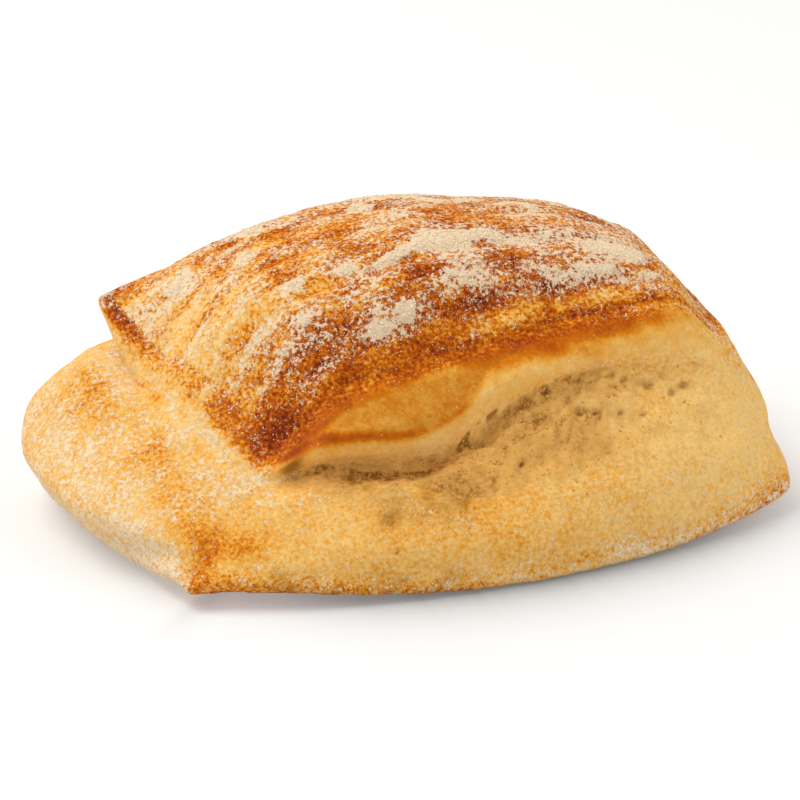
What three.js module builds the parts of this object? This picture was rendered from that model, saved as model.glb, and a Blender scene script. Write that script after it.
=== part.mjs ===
// A sourdough dinner roll: one closed solid in millimetres, +Z up, standing on its sole, longest along X.
//
// The roll is lofted. A parameter s runs round its outline: 0 to 1 along the front, 1 to 2 along the right
// end, 2 to 3 along the back and 3 to 4 along the left end. Levels run down its side, from the brow of the
// top crust over the crest, the burst face with its lip, the tear and the swelling body to the rim and the
// sole. A domed patch closes the top, and the flat sole the bottom. Lumps, folds and torn crags are relief.
import * as THREE from 'three';

// Plan outlines. Corners go near left, near right, far right, far left; bulge is how far each side bows out.
const RIM = { corners: [[-45.1, -28.4], [53, -29.4], [49.3, 25.4], [-51.4, 24.5]], bulge: [10.1, 3, 9, 1] };
const CREST = { corners: [[-30, -19.5], [48.8, -18], [48.2, 21], [-42, 21.5]], bulge: [1.3, 0.8, 4, -0.6] };
const CREST_CUT = { depth: 0.03, sharpness: 8 };
const RIM_CUT = { depth: 0.025, sharpness: 9 };
const BODY_CUT = { depth: 0.09, sharpness: 5 };
const FOOT_SHARE_OF_BODY = 0.4;
const CORNER_SHARPNESS = 4;

// The near left corner of the rim is pinched out to a small point that dips towards the table.
const PINCH = { width: 0.03, out: 0.8, dip: 0.8 };

// Rings: values at equal steps along the front, the right end, the back and the left end, each list starting
// at its corner. "out" is measured outwards from the crest or from the body's outline, "drop" down from the
// crest, "height" and "lift" up from the table and from the rim.
const CREST_HEIGHT = [[16.2, 23, 25.8, 27.6, 28.9, 29.6, 30.2, 29.3], [22.5, 23.8, 25.4, 27.8],
  [30.4, 33.2, 35.9, 34.7], [30.4, 27.4, 24.2, 23.8, 22.3, 19.4]];
const BROW_IN = [[2.2], [2.2], [2.2], [2]];
const BROW_LIFT = [[1.5, 1.6, 1.5, 1.3, 1.2, 1.2, 1.2, 1.2], [1.5, 1.6], [1.2], [0.5, 0.7, 1.2, 1.4]];
const FACE_OUT = [[0.6, 1.8, 2.4, 2.2, 1.6, 1.2, 1.2, 1.2], [0.8, 1.2, 1.2, 1.2], [1, 1.4, 1.4, 1.4],
  [0.3, 0.6, 0.7, 0.8, 0.8, 0.8]];
const FACE_DROP = [[0.4, 1.6, 2.6, 2.6, 1.4, 1.2, 1.2, 1.4], [1.6, 1.8, 1.8, 1.8], [1.6],
  [1.2, 1.2, 1.2, 1, 0.9, 0.7]];
const LIP_OUT = [[1.2, 3.2, 4.2, 4, 2.8, 2.2, 2.2, 2.2], [1.2, 2.2, 2.4, 2.2], [2, 2.4, 2.6, 2.2],
  [-0.9, 0.5, 1.2, 1.4, 1.5, 1.4]];
const LIP_DROP = [[0.9, 3.2, 5.2, 5.4, 2.9, 2.4, 2.5, 2.8], [3.2, 3.6, 3.6, 3.6], [3.4, 3.2, 3.2, 3.2],
  [2.8, 2.6, 2.2, 1.8, 1.6, 1.3]];
const UNDER_OUT = [[1.6, 2.8, 3.7, 4.1, 3.3, 2.9, 2.8, 2.8], [2.2, 3.2, 3.2, 3], [2.6, 2.8, 2.8, 2.2],
  [-2.4, -0.2, 1.4, 2, 2.2, 2]];
const UNDER_DROP = [[1.4, 5.4, 8.2, 8.4, 4.8, 3.8, 4, 4.6], [4.8, 5.2, 5.2, 5.2], [4.8, 4.8, 4.8, 4.6],
  [3.8, 3.6, 3, 2.6, 2.4, 2]];
const TEAR_OUT = [[2.2, 1.7, 2.9, 3.9, 3.5, 3.3, 3.4, 3.6], [3.4, 4.4, 4.2, 4], [3.2, 2.4, 2.2, 1.2],
  [-4.4, -0.6, 1.9, 2.9, 3.1, 2.8]];
const TEAR_DROP = [[2, 7.4, 11.2, 10.8, 6.6, 4.8, 5.4, 6.4], [6.4, 6.8, 6.8, 6.8], [6.4, 6.6, 6.6, 6.2],
  [5, 4.6, 4, 3.4, 3.2, 2.8]];
const SHOULDER_SHARE = [[0.38, 0.42, 0.44, 0.43, 0.42, 0.38, 0.4, 0.5], [0.7, 0.84, 0.8, 0.76],
  [0.65, 0.5, 0.5, 0.48], [0.46, 0.6, 0.58, 0.48, 0.45, 0.4]];
const SHOULDER_HEIGHT = [[12.8, 13.6, 13.6, 15, 18.2, 20.2, 20.4, 18], [13, 15, 16.5, 17], [17, 19, 20, 21],
  [21.2, 21.9, 19.8, 17.6, 16.7, 15]];
const BELLY_OUT = [[-2.2, -3.2, -3, -2.8, -2.4, -2.2, -1.8, -1.2], [-0.6, -1.5, -1, 0.2], [1, 0.8, 0.8, 1],
  [3.2, 4.7, 5.4, 5.2, 3.5, 0.4]];
const BELLY_HEIGHT = [[9, 8.6, 8.4, 8.4, 8.6, 9, 9.4, 9.8], [10.4, 10.8, 11, 11], [10],
  [14, 12.4, 11, 10.4, 10, 9.4]];
const FOOT_OUT = [[-0.6, -0.9, -0.8, -0.7, -0.6, -0.5, -0.2, 0.2], [0.6, 0, 0, 0.2], [0.4, 0.1, 0.1, 0.2],
  [1.2, 2.4, 3.2, 3, 1.8, 0.4]];
const FOOT_LIFT = [[2.5, 2.6, 2.8, 3], [3.4, 3], [3], [3.2, 3.4, 3.4, 3]];
const RIM_HEIGHT = [[3.8, 3.3, 1.7, 0.8, 0.4, 0.4, 0.7, 1.6], [2.6, 1.5, 1.2, 1.6], [2.8, 1, 0.8, 1],
  [2.8, 2.2, 1.7, 1.4, 1.8, 2.8]];
const HEEL = { inside: 3.5, share: 0.35 };
const SOLE_INSIDE = 10;

// The levels in order, with the rows of faces between each one and the next.
const LEVEL = { foot: 8, rim: 9, sole: 11 };
const ROWS_BETWEEN = [2, 2, 2, 2, 3, 6, 5, 3, 2, 1, 1];
const FRONT_COLUMNS = 50;
const END_COLUMNS = 22;

// The top crust is highest a little left of the middle.
const DOME = { height: 10, fullness: 0.75, lean: 0.35 };

// Relief, as [size of a lump, its height].
const LUMPS = [[15, 0.7], [6.5, 0.32]];
const FOLD = { depth: 0.7, unevenness: 0.45, width: 0.032, wave: 0.02, reach: 22 };
const FOLD_FADE = { ends: 0.12, front: 0.05, back: 0.1 };
const FOLD_LINES = [0.1, 0.3, 0.52, 0.76];
const CRAGS = [[6, 1.2], [3.2, 0.9]];
const CRAG_FLATNESS = 1.6;
const TEAR_ALONG = { start: 0.02, full: 0.1, fading: 0.84, end: 0.96 };
const TEAR_DOWN = { start: 4.7, full: 5, shallowEnd: 5.6, deepEnd: 6.3, fade: 0.6 };
const TEAR_DEEPENS = { from: 0.25, by: 0.45 };

const CRUST = new THREE.MeshStandardMaterial({ color: 0xc98a45, roughness: 0.8, metalness: 0 });

const wrap = (s) => ((s % 4) + 4) % 4;
const mix = (a, b, share) => a.map((value, i) => value * (1 - share) + b[i] * share);

// A number from 0 to 1 for each corner of a unit lattice, the same on every run.
function latticeValue(i, j, k) {
  const scattered = Math.sin(i * 127.1 + j * 311.7 + k * 74.7) * 43758.5453;
  return scattered - Math.floor(scattered);
}

const smooth = (f) => f * f * (3 - 2 * f);

// Smooth noise from -1 to 1, with lumps of the given size.
function noise(x, y, z, size) {
  const at = [x / size, y / size, z / size];
  const cell = at.map(Math.floor);
  const [fx, fy, fz] = at.map((value, axis) => smooth(value - cell[axis]));
  let sum = 0;
  for (const [i, wx] of [[0, 1 - fx], [1, fx]]) {
    for (const [j, wy] of [[0, 1 - fy], [1, fy]]) {
      for (const [k, wz] of [[0, 1 - fz], [1, fz]]) {
        sum += wx * wy * wz * latticeValue(cell[0] + i, cell[1] + j, cell[2] + k);
      }
    }
  }
  return 2 * sum - 1;
}

// The value of a ring at s: a smooth curve through its values.
function ring(sides, s) {
  const knots = sides.flatMap((values, side) => values.map((value, i) => [side + i / values.length, value]));
  const count = knots.length;
  const knot = (i) => {
    const [at, value] = knots[(i + count) % count];
    return [at + 4 * Math.floor(i / count), value];
  };
  const slope = (i) => (knot(i + 1)[1] - knot(i - 1)[1]) / (knot(i + 1)[0] - knot(i - 1)[0]);
  const round = wrap(s);
  const i = knots.findLastIndex(([at]) => at <= round);
  const step = knot(i + 1)[0] - knot(i)[0];
  const f = (round - knot(i)[0]) / step;
  return knot(i)[1] * (1 + 2 * f) * (1 - f) ** 2 + knot(i + 1)[1] * f * f * (3 - 2 * f)
    + step * (slope(i) * f * (1 - f) ** 2 - slope(i + 1) * f * f * (1 - f));
}

// The place of s on the edge of a square from -1 to 1.
function onSquare(s) {
  const side = Math.floor(wrap(s));
  const w = 2 * (wrap(s) - side) - 1;
  return [[w, -1], [1, w], [-w, 1], [-1, -w]][side];
}

// A point of a four-sided outline with bowed sides; the cut pulls its corners in.
function onOutline({ corners, bulge }, s, cut) {
  const pull = 1 - cut.depth * Math.abs(onSquare(s)[0] * onSquare(s)[1]) ** cut.sharpness;
  const [p, q] = onSquare(s).map((value) => value * pull);
  const shares = [[-1, -1], [1, -1], [1, 1], [-1, 1]].map(([i, j]) => ((1 + i * p) * (1 + j * q)) / 4);
  const side = Math.floor(wrap(s));
  const along = [0, 1].map((axis) => corners[(side + 1) % 4][axis] - corners[side][axis]);
  const bow = bulge[side] * (1 - (2 * (wrap(s) - side) - 1) ** 2) / Math.hypot(...along);
  return [0, 1].map((axis) => {
    const straight = shares.reduce((sum, share, i) => sum + share * corners[i][axis], 0);
    return straight + bow * [along[1], -along[0]][axis];
  });
}

// The outward direction in plan: square to each side, and turning at the corners.
function outwardAt(s) {
  const d = onSquare(s).map((value) => Math.sign(value) * Math.abs(value) ** CORNER_SHARPNESS);
  return d.map((value) => value / Math.hypot(...d));
}

// The side's control points at s, one for each level.
function levelsAt(s) {
  const crest = onOutline(CREST, s, CREST_CUT);
  const pinch = Math.exp(-(((wrap(s + 2) - 2) / PINCH.width) ** 2));
  const rim = onOutline(RIM, s, RIM_CUT);
  const body = onOutline(RIM, s, BODY_CUT);
  const outward = outwardAt(s);
  const move = (from, distance) => from.map((value, axis) => value + outward[axis] * distance);
  const crestHeight = ring(CREST_HEIGHT, s);
  const rimHeight = ring(RIM_HEIGHT, s) - PINCH.dip * pinch;
  const belowCrest = (out, drop) => [...move(crest, ring(out, s)), crestHeight - ring(drop, s)];
  return [
    [...move(crest, -ring(BROW_IN, s)), crestHeight + ring(BROW_LIFT, s)],
    [...crest, crestHeight],
    belowCrest(FACE_OUT, FACE_DROP),
    belowCrest(LIP_OUT, LIP_DROP),
    belowCrest(UNDER_OUT, UNDER_DROP),
    belowCrest(TEAR_OUT, TEAR_DROP),
    [...mix(crest, body, ring(SHOULDER_SHARE, s)), ring(SHOULDER_HEIGHT, s)],
    [...move(body, ring(BELLY_OUT, s)), ring(BELLY_HEIGHT, s)],
    [...move(mix(rim, body, FOOT_SHARE_OF_BODY), ring(FOOT_OUT, s)), rimHeight + ring(FOOT_LIFT, s)],
    [...move(rim, PINCH.out * pinch), rimHeight],
    [...move(rim, -HEEL.inside), rimHeight * HEEL.share],
    [...move(rim, -SOLE_INSIDE), 0],
  ];
}

// Points down the side at s, on a Catmull-Rom curve through the levels.
function sideAt(s) {
  const levels = levelsAt(s);
  const last = levels.length - 1;
  const before = mix(levels[1], levels[0], 2);
  const after = mix(levels[last - 1], levels[last], 2);
  const through = [before, ...levels, after];
  const points = [];
  ROWS_BETWEEN.forEach((rows, i) => {
    for (let row = 0; row < rows; row += 1) {
      const f = row / rows;
      const [a, b, c, d] = through.slice(i, i + 4);
      const point = b.map((value, axis) => 0.5 * (2 * value + (c[axis] - a[axis]) * f
        + (2 * a[axis] - 5 * value + 4 * c[axis] - d[axis]) * f * f
        + (3 * value - a[axis] - 3 * c[axis] + d[axis]) * f ** 3));
      points.push({ point, s, level: i + f });
    }
  });
  points.push({ point: levels[last], s, level: last });
  return points;
}

// The columns of s round the roll.
function columns() {
  const counts = [FRONT_COLUMNS, END_COLUMNS, FRONT_COLUMNS, END_COLUMNS];
  return counts.flatMap((count, side) => Array.from({ length: count }, (_, i) => side + i / count));
}

// How much of the top's dome stands at (u, v), both from 0 to 1 across it.
function domeAt(u, v) {
  const lengthwise = 4 * u * (1 - u) * (1 - DOME.lean * (u - 0.5));
  return DOME.height * (lengthwise * 4 * v * (1 - v)) ** DOME.fullness;
}

// A point of the top: a Coons patch between the four sides of the brow, with the dome on it.
function onTop(brow, u, v, i, j) {
  const [front, end] = [FRONT_COLUMNS, END_COLUMNS];
  const at = (column) => brow[column % brow.length];
  const [near, right] = [at(i), at(front + j)];
  const [far, left] = [at(2 * front + end - i), at(2 * (front + end) - j)];
  const [a, b, c, d] = [at(0), at(front), at(front + end), at(2 * front + end)];
  const point = near.map((value, axis) => (1 - v) * value + v * far[axis]
    + (1 - u) * (left[axis] - (1 - v) * a[axis] - v * d[axis])
    + u * (right[axis] - (1 - v) * b[axis] - v * c[axis]));
  point[2] += domeAt(u, v);
  return { point, u, v };
}

const rise = (from, to, value) => THREE.MathUtils.smoothstep(value, from, to);

// How torn the crust is at (s, level), from 0 to 1. Only the front burst open.
function tornness(s, level) {
  if (s >= 1) {
    return 0;
  }
  const along = rise(TEAR_ALONG.start, TEAR_ALONG.full, s) * (1 - rise(TEAR_ALONG.fading, TEAR_ALONG.end, s));
  const deep = rise(TEAR_DEEPENS.from, TEAR_DEEPENS.by, s);
  const end = TEAR_DOWN.shallowEnd + (TEAR_DOWN.deepEnd - TEAR_DOWN.shallowEnd) * deep;
  return along * rise(TEAR_DOWN.start, TEAR_DOWN.full, level) * (1 - rise(end, end + TEAR_DOWN.fade, level));
}

// Shallow folds that run lengthwise over the top crust and fade at its edges.
function folds(x, u, v) {
  const wave = FOLD.wave * noise(x, 0, 0, FOLD.reach);
  const atEnds = rise(0, FOLD_FADE.ends, u) * rise(0, FOLD_FADE.ends, 1 - u);
  const atSides = rise(0, FOLD_FADE.front, v) * rise(0, FOLD_FADE.back, 1 - v);
  const depths = FOLD_LINES.map((line, i) => {
    const across = (v - line - wave) / FOLD.width;
    const evenness = 1 - FOLD.unevenness * (1 - noise(x, 2 * i * FOLD.reach, FOLD.reach, FOLD.reach));
    return evenness * Math.exp(-across * across);
  });
  return -FOLD.depth * atEnds * atSides * depths.reduce((sum, depth) => sum + depth, 0);
}

// The height of the relief at a point of the base form, measured along its normal.
function reliefAt({ point, s, level, u, v }) {
  const [x, y, z] = point;
  const lump = LUMPS.reduce((sum, [size, height]) => sum + height * noise(x, y, z, size), 0);
  if (level === undefined) {
    return lump + folds(x, u, v);
  }
  const held = rise(LEVEL.foot, LEVEL.rim, level);
  const cragAt = ([size, depth]) => (depth / 2) * (1 + noise(x, y, z * CRAG_FLATNESS, size));
  const crags = CRAGS.reduce((sum, crag) => sum + cragAt(crag), 0);
  return lump * (1 - held) - crags * tornness(s, level);
}

// The whole skin: rows of points down the side, the top patch, and the flat sole as a fan.
function rollGeometry() {
  const strips = columns().map(sideAt);
  const rows = strips[0].length;
  const nodes = strips.flat();
  const side = (column, row) => (column % strips.length) * rows + row;
  const faces = [];
  const quad = (a, b, c, d) => faces.push(a, b, c, a, c, d);
  strips.forEach((_, column) => {
    for (let row = 0; row < rows - 1; row += 1) {
      quad(side(column, row + 1), side(column + 1, row + 1), side(column + 1, row), side(column, row));
    }
  });

  const brow = strips.map((strip) => strip[0].point);
  const [nu, nv] = [FRONT_COLUMNS, END_COLUMNS];
  const firstInside = nodes.length;
  const onPatch = (i, j) => {
    if (j === 0) return side(i, 0);
    if (i === nu) return side(nu + j, 0);
    if (j === nv) return side(2 * nu + nv - i, 0);
    if (i === 0) return side(2 * nu + 2 * nv - j, 0);
    return firstInside + (j - 1) * (nu - 1) + i - 1;
  };
  for (let j = 1; j < nv; j += 1) {
    for (let i = 1; i < nu; i += 1) {
      nodes.push(onTop(brow, i / nu, j / nv, i, j));
    }
  }
  for (let j = 0; j < nv; j += 1) {
    for (let i = 0; i < nu; i += 1) {
      quad(onPatch(i, j), onPatch(i + 1, j), onPatch(i + 1, j + 1), onPatch(i, j + 1));
    }
  }

  const middle = nodes.length;
  nodes.push({ point: [0, 0, 0], s: 0, level: LEVEL.sole });
  strips.forEach((_, column) => faces.push(side(column + 1, rows - 1), side(column, rows - 1), middle));

  const geometry = new THREE.BufferGeometry();
  geometry.setAttribute('position', new THREE.Float32BufferAttribute(nodes.flatMap((node) => node.point), 3));
  geometry.setIndex(faces);
  geometry.computeVertexNormals();
  return applyRelief(geometry, nodes);
}

// Moves each point along its normal, keeps all above the table, and centres the roll over its origin.
function applyRelief(geometry, nodes) {
  const position = geometry.getAttribute('position');
  const normal = geometry.getAttribute('normal');
  const point = new THREE.Vector3();
  const direction = new THREE.Vector3();
  nodes.forEach((node, i) => {
    point.fromBufferAttribute(position, i);
    direction.fromBufferAttribute(normal, i);
    point.addScaledVector(direction, reliefAt(node));
    position.setXYZ(i, point.x, point.y, Math.max(point.z, 0));
  });
  geometry.computeBoundingBox();
  const centre = geometry.boundingBox.getCenter(new THREE.Vector3());
  geometry.translate(-centre.x, -centre.y, -geometry.boundingBox.min.z);
  geometry.computeVertexNormals();
  return geometry;
}

const roll = new THREE.Mesh(rollGeometry(), CRUST);
roll.name = 'roll';

const group = new THREE.Group();
group.add(roll);

export default group;
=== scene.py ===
"""A sourdough dinner roll: baked crust, torn crumb, caked flour, loose grains and crumbs.

The roll is lofted. s runs round it from 0 to 4: 0 to 1 along the front, 1 to 2 along the right end, 2 to 3
along the back and 3 to 4 along the left end. Its level runs down the side, from 0 at the brow of the top
crust over the crest, the burst face, the lip, the tear and the swelling body to 9 at the rim and 11 on the
sole. The top has u from 0 to 1 along it and v from 0 to 1 across it, from the front. Sizes are in millimetres
until a mesh is made."""

import math

import bpy
import numpy as np
from bpy.props import FloatProperty, FloatVectorProperty, IntProperty, PointerProperty
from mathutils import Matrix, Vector


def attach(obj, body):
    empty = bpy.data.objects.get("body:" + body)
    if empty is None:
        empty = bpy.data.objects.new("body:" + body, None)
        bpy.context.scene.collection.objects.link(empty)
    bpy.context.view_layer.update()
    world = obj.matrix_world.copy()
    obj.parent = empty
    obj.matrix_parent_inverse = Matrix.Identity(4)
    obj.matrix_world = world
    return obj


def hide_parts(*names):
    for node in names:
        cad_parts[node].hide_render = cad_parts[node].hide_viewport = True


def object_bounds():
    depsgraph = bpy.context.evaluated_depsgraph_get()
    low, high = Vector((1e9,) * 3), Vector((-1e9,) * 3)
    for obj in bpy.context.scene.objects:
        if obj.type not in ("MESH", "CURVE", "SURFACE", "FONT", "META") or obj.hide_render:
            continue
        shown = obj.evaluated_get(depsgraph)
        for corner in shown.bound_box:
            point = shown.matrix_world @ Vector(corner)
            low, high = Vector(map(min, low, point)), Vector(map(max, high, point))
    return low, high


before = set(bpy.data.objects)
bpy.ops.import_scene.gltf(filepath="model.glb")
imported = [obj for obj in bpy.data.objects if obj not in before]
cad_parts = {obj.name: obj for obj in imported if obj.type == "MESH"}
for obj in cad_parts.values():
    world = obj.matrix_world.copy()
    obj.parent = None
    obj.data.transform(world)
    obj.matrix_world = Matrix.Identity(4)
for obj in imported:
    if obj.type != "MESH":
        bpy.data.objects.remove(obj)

bl_info = {
    "name": "Sourdough dinner roll",
    "version": (1, 0, 0),
    "blender": (4, 5, 0),
    "location": "3D View > Sidebar > Roll",
    "description": "Builds a floured sourdough roll with its crust, torn crumb, flour and crumbs",
    "category": "Add Mesh",
}

CAD_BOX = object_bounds()
MM = 0.001
BODY = "root"
NODE = "roll"

# ---- The base form. These sizes are the part's own.

RIM = {"corners": [[-45.1, -28.4], [53, -29.4], [49.3, 25.4], [-51.4, 24.5]], "bulge": [10.1, 3, 9, 1]}
CREST = {"corners": [[-30, -19.5], [48.8, -18], [48.2, 21], [-42, 21.5]], "bulge": [1.3, 0.8, 4, -0.6]}
CREST_CUT = {"depth": 0.03, "sharpness": 8}
RIM_CUT = {"depth": 0.025, "sharpness": 9}
BODY_CUT = {"depth": 0.09, "sharpness": 5}
FOOT_SHARE_OF_BODY = 0.4
CORNER_SHARPNESS = 4
PINCH = {"width": 0.03, "out": 0.8, "dip": 0.8}

# Each ring holds values at equal steps along the front, the right end, the back and the left end.
RINGS = {
    "crest_height": ([16.2, 23, 25.8, 27.6, 28.9, 29.6, 30.2, 29.3], [22.5, 23.8, 25.4, 27.8],
                     [30.4, 33.2, 35.9, 34.7], [30.4, 27.4, 24.2, 23.8, 22.3, 19.4]),
    "brow_in": ([2.2], [2.2], [2.2], [2]),
    "brow_lift": ([1.5, 1.6, 1.5, 1.3, 1.2, 1.2, 1.2, 1.2], [1.5, 1.6], [1.2], [0.5, 0.7, 1.2, 1.4]),
    "face_out": ([0.6, 1.8, 2.4, 2.2, 1.6, 1.2, 1.2, 1.2], [0.8, 1.2, 1.2, 1.2], [1, 1.4, 1.4, 1.4],
                 [0.3, 0.6, 0.7, 0.8, 0.8, 0.8]),
    "face_drop": ([0.4, 1.6, 2.6, 2.6, 1.4, 1.2, 1.2, 1.4], [1.6, 1.8, 1.8, 1.8], [1.6],
                  [1.2, 1.2, 1.2, 1, 0.9, 0.7]),
    "lip_out": ([1.2, 3.2, 4.2, 4, 2.8, 2.2, 2.2, 2.2], [1.2, 2.2, 2.4, 2.2], [2, 2.4, 2.6, 2.2],
                [-0.9, 0.5, 1.2, 1.4, 1.5, 1.4]),
    "lip_drop": ([0.9, 3.2, 5.2, 5.4, 2.9, 2.4, 2.5, 2.8], [3.2, 3.6, 3.6, 3.6], [3.4, 3.2, 3.2, 3.2],
                 [2.8, 2.6, 2.2, 1.8, 1.6, 1.3]),
    "under_out": ([1.6, 2.8, 3.7, 4.1, 3.3, 2.9, 2.8, 2.8], [2.2, 3.2, 3.2, 3], [2.6, 2.8, 2.8, 2.2],
                  [-2.4, -0.2, 1.4, 2, 2.2, 2]),
    "under_drop": ([1.4, 5.4, 8.2, 8.4, 4.8, 3.8, 4, 4.6], [4.8, 5.2, 5.2, 5.2], [4.8, 4.8, 4.8, 4.6],
                   [3.8, 3.6, 3, 2.6, 2.4, 2]),
    "tear_out": ([2.2, 1.7, 2.9, 3.9, 3.5, 3.3, 3.4, 3.6], [3.4, 4.4, 4.2, 4], [3.2, 2.4, 2.2, 1.2],
                 [-4.4, -0.6, 1.9, 2.9, 3.1, 2.8]),
    "tear_drop": ([2, 7.4, 11.2, 10.8, 6.6, 4.8, 5.4, 6.4], [6.4, 6.8, 6.8, 6.8], [6.4, 6.6, 6.6, 6.2],
                  [5, 4.6, 4, 3.4, 3.2, 2.8]),
    "shoulder_share": ([0.38, 0.42, 0.44, 0.43, 0.42, 0.38, 0.4, 0.5], [0.7, 0.84, 0.8, 0.76],
                       [0.65, 0.5, 0.5, 0.48], [0.46, 0.6, 0.58, 0.48, 0.45, 0.4]),
    "shoulder_height": ([12.8, 13.6, 13.6, 15, 18.2, 20.2, 20.4, 18], [13, 15, 16.5, 17], [17, 19, 20, 21],
                        [21.2, 21.9, 19.8, 17.6, 16.7, 15]),
    "belly_out": ([-2.2, -3.2, -3, -2.8, -2.4, -2.2, -1.8, -1.2], [-0.6, -1.5, -1, 0.2], [1, 0.8, 0.8, 1],
                  [3.2, 4.7, 5.4, 5.2, 3.5, 0.4]),
    "belly_height": ([9, 8.6, 8.4, 8.4, 8.6, 9, 9.4, 9.8], [10.4, 10.8, 11, 11], [10],
                     [14, 12.4, 11, 10.4, 10, 9.4]),
    "foot_out": ([-0.6, -0.9, -0.8, -0.7, -0.6, -0.5, -0.2, 0.2], [0.6, 0, 0, 0.2], [0.4, 0.1, 0.1, 0.2],
                 [1.2, 2.4, 3.2, 3, 1.8, 0.4]),
    "foot_lift": ([2.5, 2.6, 2.8, 3], [3.4, 3], [3], [3.2, 3.4, 3.4, 3]),
    "rim_height": ([3.8, 3.3, 1.7, 0.8, 0.4, 0.4, 0.7, 1.6], [2.6, 1.5, 1.2, 1.6], [2.8, 1, 0.8, 1],
                   [2.8, 2.2, 1.7, 1.4, 1.8, 2.8]),
}
HEEL = {"inside": 3.5, "share": 0.35}
SOLE_INSIDE = 10
DOME = {"height": 10, "fullness": 0.75, "lean": 0.35}

# Relief that the part has too, as (size of a lump, its height).
LUMPS = ((15, 0.7), (6.5, 0.32))
FOLD = {"depth": 0.7, "unevenness": 0.45, "width": 0.032, "wave": 0.02, "reach": 22}
FOLD_FADE = {"ends": 0.12, "front": 0.05, "back": 0.1}
FOLD_LINES = (0.1, 0.3, 0.52, 0.76)
CRAGS = ((6, 1.2), (3.2, 0.9))
CRAG_FLATNESS = 1.6
TEAR_ALONG = {"start": 0.02, "full": 0.1, "fading": 0.84, "end": 0.96}
TEAR_DOWN = {"start": 4.7, "full": 5, "shallow_end": 5.6, "deep_end": 6.3, "fade": 0.6}
TEAR_DEEPENS = {"from": 0.25, "by": 0.45}
LEVEL_TOP, LEVEL_FOOT, LEVEL_RIM, LEVEL_SOLE = -1.0, 8, 9, 11.5

# The grid that the visible surface is worked out on.
FRONT_COLUMNS = 212
END_COLUMNS = 118
ROWS_BETWEEN = (4, 5, 7, 6, 8, 14, 16, 10, 5, 4, 4)
SOLE_RINGS = 8


def rise(start, end, x):
    """0 up to start, 1 from end, and a smooth cubic step between them."""
    t = np.clip((x - start) / (end - start), 0, 1)
    return t * t * (3 - 2 * t)


def window(x, start, full, fading, end):
    """0 up to start, 1 from full to fading, and 0 again from end."""
    return rise(start, full, x) * (1 - rise(fading, end, x))


def bell(x, centre, half):
    """A bell curve: e to the power of minus the square of the distance from centre in halves."""
    return np.exp(-(((x - centre) / half) ** 2))


def lattice(i, j, k):
    """A number from 0 to 1 for each corner of a unit lattice: what is after the point in a large sine."""
    scattered = np.sin(i * 127.1 + j * 311.7 + k * 74.7) * 43758.5453
    return scattered - np.floor(scattered)


def noise(points, size, shift=0.0):
    """Smooth noise from -1 to 1: lattice values, blended between corners by a cubic step on each axis."""
    at = points / size + shift
    cell = np.floor(at)
    f = at - cell
    f = f * f * (3 - 2 * f)
    total = 0
    for i in (0, 1):
        for j in (0, 1):
            for k in (0, 1):
                weight = 1
                for axis, corner in enumerate((i, j, k)):
                    weight = weight * (f[:, axis] if corner else 1 - f[:, axis])
                total = total + weight * lattice(cell[:, 0] + i, cell[:, 1] + j, cell[:, 2] + k)
    return 2 * total - 1


def bubbles(points, size, shift=0.0):
    """Cellular noise: how far, in cells, the nearest of one random point per cell is, and its own number."""
    at = points / size + shift
    cell = np.floor(at)
    nearest = np.full(len(at), 9.0)
    own = np.zeros(len(at))
    for i in (-1, 0, 1):
        for j in (-1, 0, 1):
            for k in (-1, 0, 1):
                home = cell + (i, j, k)
                place = [home[:, axis] + lattice(*(home + 17.3 * (axis + 1)).T) for axis in range(3)]
                distance = np.sqrt(sum((at[:, axis] - place[axis]) ** 2 for axis in range(3)))
                closer = distance < nearest
                nearest = np.where(closer, distance, nearest)
                own = np.where(closer, lattice(home[:, 2], home[:, 0], home[:, 1]), own)
    return nearest, own


def ring(name, s):
    """A ring's value at s: the cubic through its values whose slope at each is that of its two neighbours."""
    sides = RINGS[name]
    knots = np.concatenate([side + np.arange(len(v)) / len(v) for side, v in enumerate(sides)])
    values = np.concatenate([np.asarray(v, float) for v in sides])
    knots = np.concatenate([knots[-2:] - 4, knots, knots[:3] + 4])
    values = np.concatenate([values[-2:], values, values[:3]])
    slopes = (values[2:] - values[:-2]) / (knots[2:] - knots[:-2])
    knots, values = knots[1:-1], values[1:-1]
    at = s % 4
    i = np.clip(np.searchsorted(knots, at, side="right") - 1, 0, len(knots) - 2)
    step = knots[i + 1] - knots[i]
    f = (at - knots[i]) / step
    return (values[i] * (1 + 2 * f) * (1 - f) ** 2 + values[i + 1] * f * f * (3 - 2 * f)
            + step * (slopes[i] * f * (1 - f) ** 2 - slopes[i + 1] * f * f * (1 - f)))


def on_square(s):
    """The place of s on the edge of a square from -1 to 1."""
    side = np.floor(s % 4).astype(int)
    w = 2 * (s % 4 - side) - 1
    one = np.ones_like(w)
    return np.choose(side, [w, one, -w, -one]), np.choose(side, [-one, w, one, -w])


def on_outline(outline, s, cut):
    """Points of a four-sided outline: its corners are blended bilinearly and pulled in by the cut, and its
    sides are bowed by parabolas."""
    corners = np.array(outline["corners"], float)
    p, q = on_square(s)
    pull = 1 - cut["depth"] * np.abs(p * q) ** cut["sharpness"]
    p, q = p * pull, q * pull
    shares = np.stack([(1 - p) * (1 - q), (1 + p) * (1 - q), (1 + p) * (1 + q), (1 - p) * (1 + q)], 1) / 4
    side = np.floor(s % 4).astype(int)
    along = corners[(side + 1) % 4] - corners[side]
    square = np.stack([along[:, 1], -along[:, 0]], 1) / np.hypot(*along.T)[:, None]
    bow = np.array(outline["bulge"])[side] * (1 - (2 * (s % 4 - side) - 1) ** 2)
    return shares @ corners + square * bow[:, None]


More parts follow.
